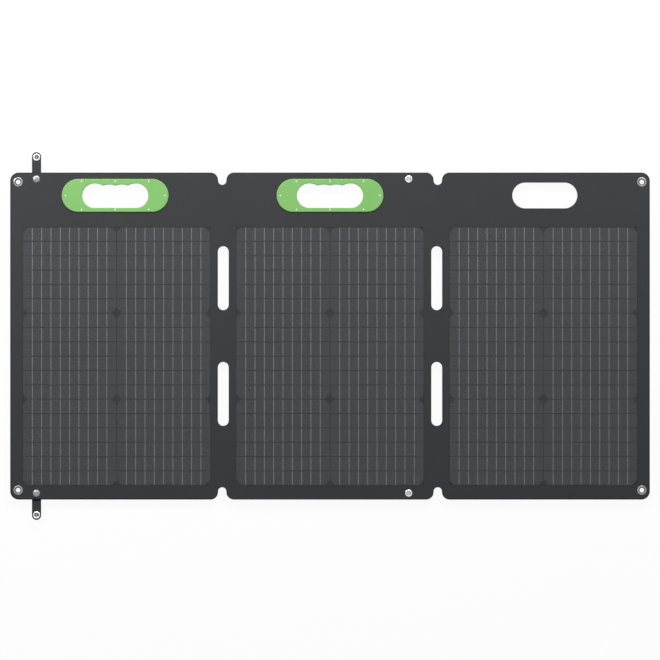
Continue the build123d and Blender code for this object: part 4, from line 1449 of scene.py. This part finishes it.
@dataclass
class JunctionBox(Assembly):
    """The box on the middle panel's back, with its lid, screws, socket and what is inside."""

    y: float = -215.0
    lid_length: float = 100.0
    lid_width: float = 60.0
    lid_top: float = 1.2
    skin_z: float = 10.0
    screw_dx: float = 43.0
    screw_dy: float = 23.0
    screw_sunk: float = 0.1
    screw_length: float = 6.7
    screw_turn: float = 30.0
    groove_half: float = 26.0
    groove_width: float = 1.6
    groove_pitch: float = 5.2
    groove_depth: float = 0.35
    groove_wall: float = 0.25
    grooves: int = 5
    edge_r: float = 0.35
    lip_r: float = 0.3

    def build(self) -> None:
        """Builds the box's outside and dresses its inside."""
        nodes, finishes = self.nodes, self.finishes
        body = Bench(nodes["junction_box_body"])
        low, high = self.lid_top * MM - SNUG, self.skin_z * MM - SNUG
        sides = [e for e in body.sharp_edges(STEEP) if all(low < v.co.z < high for v in e.verts)]
        body.round_edges([e for e in sides if self._outside(e)], self.edge_r, 2)
        screws = Bench()
        screw = CrossScrew(self.screw_sunk, self.screw_length)
        for dx in (-1, 1):
            for dy in (-1, 1):
                place = (dx * self.screw_dx, self.y + dy * self.screw_dy)
                screw.add(screws, place, self.screw_turn * dx * dy, -1.0)
        jack = Bench(nodes["output_jack_housing"])
        mouth = (self.y - self.lid_width / 2) * MM + 2 * NEAR
        lips = [e for e in jack.sharp_edges(STEEP) if all(v.co.y < mouth for v in e.verts)]
        jack.round_edges(lips, self.lip_r, 2)
        moulded = {
            "box_shell": (body, "junction_box_body"),
            "box_cover": (self._lid(), "junction_box_lid"),
            "output_socket": (jack, "output_jack_housing"),
        }
        for word, (bench, node) in moulded.items():
            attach(bench.piece(word, finishes.box, "box_plastic", (node,)), "middle_panel")
        made = screws.piece("box_cover_screws", finishes.nickel, "nickel_steel", ("junction_box_screws",))
        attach(made, "middle_panel")
        inside = {
            "junction_box_seal": finishes.rubber,
            "junction_circuit_board": finishes.circuit,
            "junction_tabs": finishes.copper,
            "bypass_diodes": finishes.diode,
            "output_jack_pin": finishes.nickel,
        }
        for name, finish in inside.items():
            paint(nodes[name], finish)

    def _outside(self, edge: Edge) -> bool:
        """Tells whether an edge lies on the box's outer outline.

        Args:
            edge: The edge.

        Returns:
            Whether it does.
        """
        middle = (edge.verts[0].co + edge.verts[1].co) / 2
        dx = abs(middle.x) - self.lid_length * MM / 2
        dy = abs(middle.y - self.y * MM) - self.lid_width * MM / 2
        return max(dx, dy) > -NEAR and abs(edge.verts[0].co.z - edge.verts[1].co.z) < SNUG

    def _lid(self) -> Bench:
        """Makes the lid with grip grooves in its outer face.

        Returns:
            The lid's mesh.
        """
        bench = Bench(self.nodes["junction_box_lid"])
        first = self.y - self.groove_pitch * (self.grooves - 1) / 2
        centres = [first + self.groove_pitch * i for i in range(self.grooves)]
        half = self.groove_width / 2
        bench.cut((1.0, 0.0, 0.0), [(-self.groove_half, 0.0, 0.0), (self.groove_half, 0.0, 0.0)])
        bench.cut((0.0, 1.0, 0.0), [(0.0, c + d, 0.0) for c in centres for d in (-half, half)])
        faces = []
        for face in bench.bm.faces:
            x, y, z = face.calc_center_median() / MM
            outer = face.normal.z < -UPWARD and abs(z) < CLOSE / MM
            if outer and abs(x) < self.groove_half and min(abs(y - c) for c in centres) < half:
                faces.append(face)
        wall, depth = self.groove_wall * MM, -self.groove_depth * MM
        bmesh.ops.inset_region(bench.bm, faces=faces, thickness=wall, depth=depth)
        return bench


# ---- studio ------------------------------------------------------------------------------


@dataclass(frozen=True)
class Lamp:
    """A soft oval lamp. Its place, aim and size are in metres, its power in watts."""

    name: str
    place: Place
    aim: Place
    size: tuple[float, float]
    power: float

    def hang(self) -> None:
        """Hangs the lamp and points it."""
        lamp = bpy.data.lights.new(self.name, "AREA")
        lamp.shape = "ELLIPSE"
        lamp.size, lamp.size_y = self.size
        lamp.energy = self.power
        held = bpy.data.objects.new(self.name, lamp)
        held.location = self.place
        held.rotation_euler = (Vector(self.aim) - Vector(self.place)).to_track_quat("-Z", "Y").to_euler()
        bpy.context.scene.collection.objects.link(held)


@dataclass
class Studio:
    """White ground, soft lamps and the camera straight above the panel."""

    lamps: tuple[Lamp, ...] = (
        Lamp("key_lamp", place=(0.22, 1.55, 1.15), aim=(0.0, 0.05, 0.0), size=(3.2, 0.7), power=54.0),
        Lamp("side_lamp", place=(-1.32, 0.77, 0.96), aim=(-0.3, 0.0, 0.0), size=(0.4, 0.4), power=12.5),
    )
    ground: float = 60.0
    ambient: float = 0.2
    camera_y: float = 10.9
    camera_z: float = 9900.0
    lens: float = 300.0
    sensor: float = 36.0
    far_clip: float = 200.0
    floor_shade: float = 0.9
    floor_glow: float = 0.94

    def build(self) -> None:
        """Sets up the world, the floor, the lamps and the camera."""
        self._world()
        self._floor()
        for lamp in self.lamps:
            lamp.hang()
        self._camera()
        bpy.context.scene.view_settings.view_transform = "Standard"

    def _seen(self, w: Wiring) -> Socket:
        """Tells the rays that show the ground and the air as white.

        Args:
            w: The wiring of a material or of the world.

        Returns:
            1 for rays from the camera, from gloss and through glass.
        """
        path = w.node("LightPath")
        seen = w.math("MAXIMUM", path.outputs["Is Camera Ray"], path.outputs["Is Glossy Ray"])
        return w.math("MAXIMUM", seen, path.outputs["Is Transmission Ray"])

    def _world(self) -> None:
        """White to the camera and in reflections, a soft even light for the rest."""
        world = bpy.data.worlds.new("studio_air")
        bpy.context.scene.world = world
        world.use_nodes = True
        world.node_tree.nodes.clear()
        w = Wiring(world.node_tree)
        sky = w.node("Background")
        w.feed(sky, "Color", (1.0, 1.0, 1.0))
        w.feed(sky, "Strength", w.spread(self._seen(w), self.ambient, 1.0))
        out = w.node("OutputWorld")
        w.feed(out, "Surface", sky.outputs[0])

    def _floor(self) -> None:
        """A plain pale floor that keeps a soft shadow."""
        bm = bmesh.new()
        bmesh.ops.create_grid(bm, x_segments=1, y_segments=1, size=self.ground)
        mesh = bpy.data.meshes.new("floor")
        bm.to_mesh(mesh)
        bm.free()
        material = bpy.data.materials.new("pale_floor")
        material.use_nodes = True
        material.node_tree.nodes.clear()
        w = Wiring(material.node_tree)
        matt = w.node("BsdfDiffuse")
        w.feed(matt, "Color", (self.floor_shade,) * 3)
        glow = w.node("Emission")
        w.feed(glow, "Strength", 1.0)
        share = w.node("MixShader")
        w.feed(share, 0, w.times(self._seen(w), self.floor_glow))
        w.feed(share, 1, matt.outputs[0])
        w.feed(share, 2, glow.outputs[0])
        clear = w.node("BsdfTransparent")
        below = w.node("MixShader")
        w.feed(below, 0, w.node("NewGeometry").outputs["Backfacing"])
        w.feed(below, 1, share.outputs[0])
        w.feed(below, 2, clear.outputs[0])
        out = w.node("OutputMaterial")
        w.feed(out, "Surface", below.outputs[0])
        mesh.materials.append(material)
        floor = bpy.data.objects.new("floor", mesh)
        bpy.context.scene.collection.objects.link(floor)

    def _camera(self) -> None:
        """A long lens looking straight down."""
        data = bpy.data.cameras.new("camera")
        data.lens = self.lens
        data.sensor_width = self.sensor
        data.clip_end = self.far_clip
        held = bpy.data.objects.new("camera", data)
        held.location = Vector((0.0, self.camera_y, self.camera_z)) * MM
        bpy.context.scene.collection.objects.link(held)
        bpy.context.scene.camera = held


def main() -> None:
    """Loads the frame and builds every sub-assembly."""
    logging.basicConfig(level=logging.INFO, format="%(message)s")
    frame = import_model()
    nodes = frame["nodes"]
    Studio().build()
    finishes = Finishes(Effects())
    CellField(nodes, finishes).build()
    for panel, axis_x in ((Panel.LEFT, -FOLD_X), (Panel.RIGHT, FOLD_X)):
        FoldWeb(nodes, finishes, panel, axis_x).build()
    for panel, centre_x in ((Panel.LEFT, -2 * FOLD_X), (Panel.MIDDLE, 0.0)):
        Handle(nodes, finishes, panel, centre_x).build()
    Hardware(nodes, finishes).build()
    for strap in Strap:
        ClosingStrap(nodes, finishes, strap).build()
    JunctionBox(nodes, finishes).build()


if __name__ == "__main__":
    main()
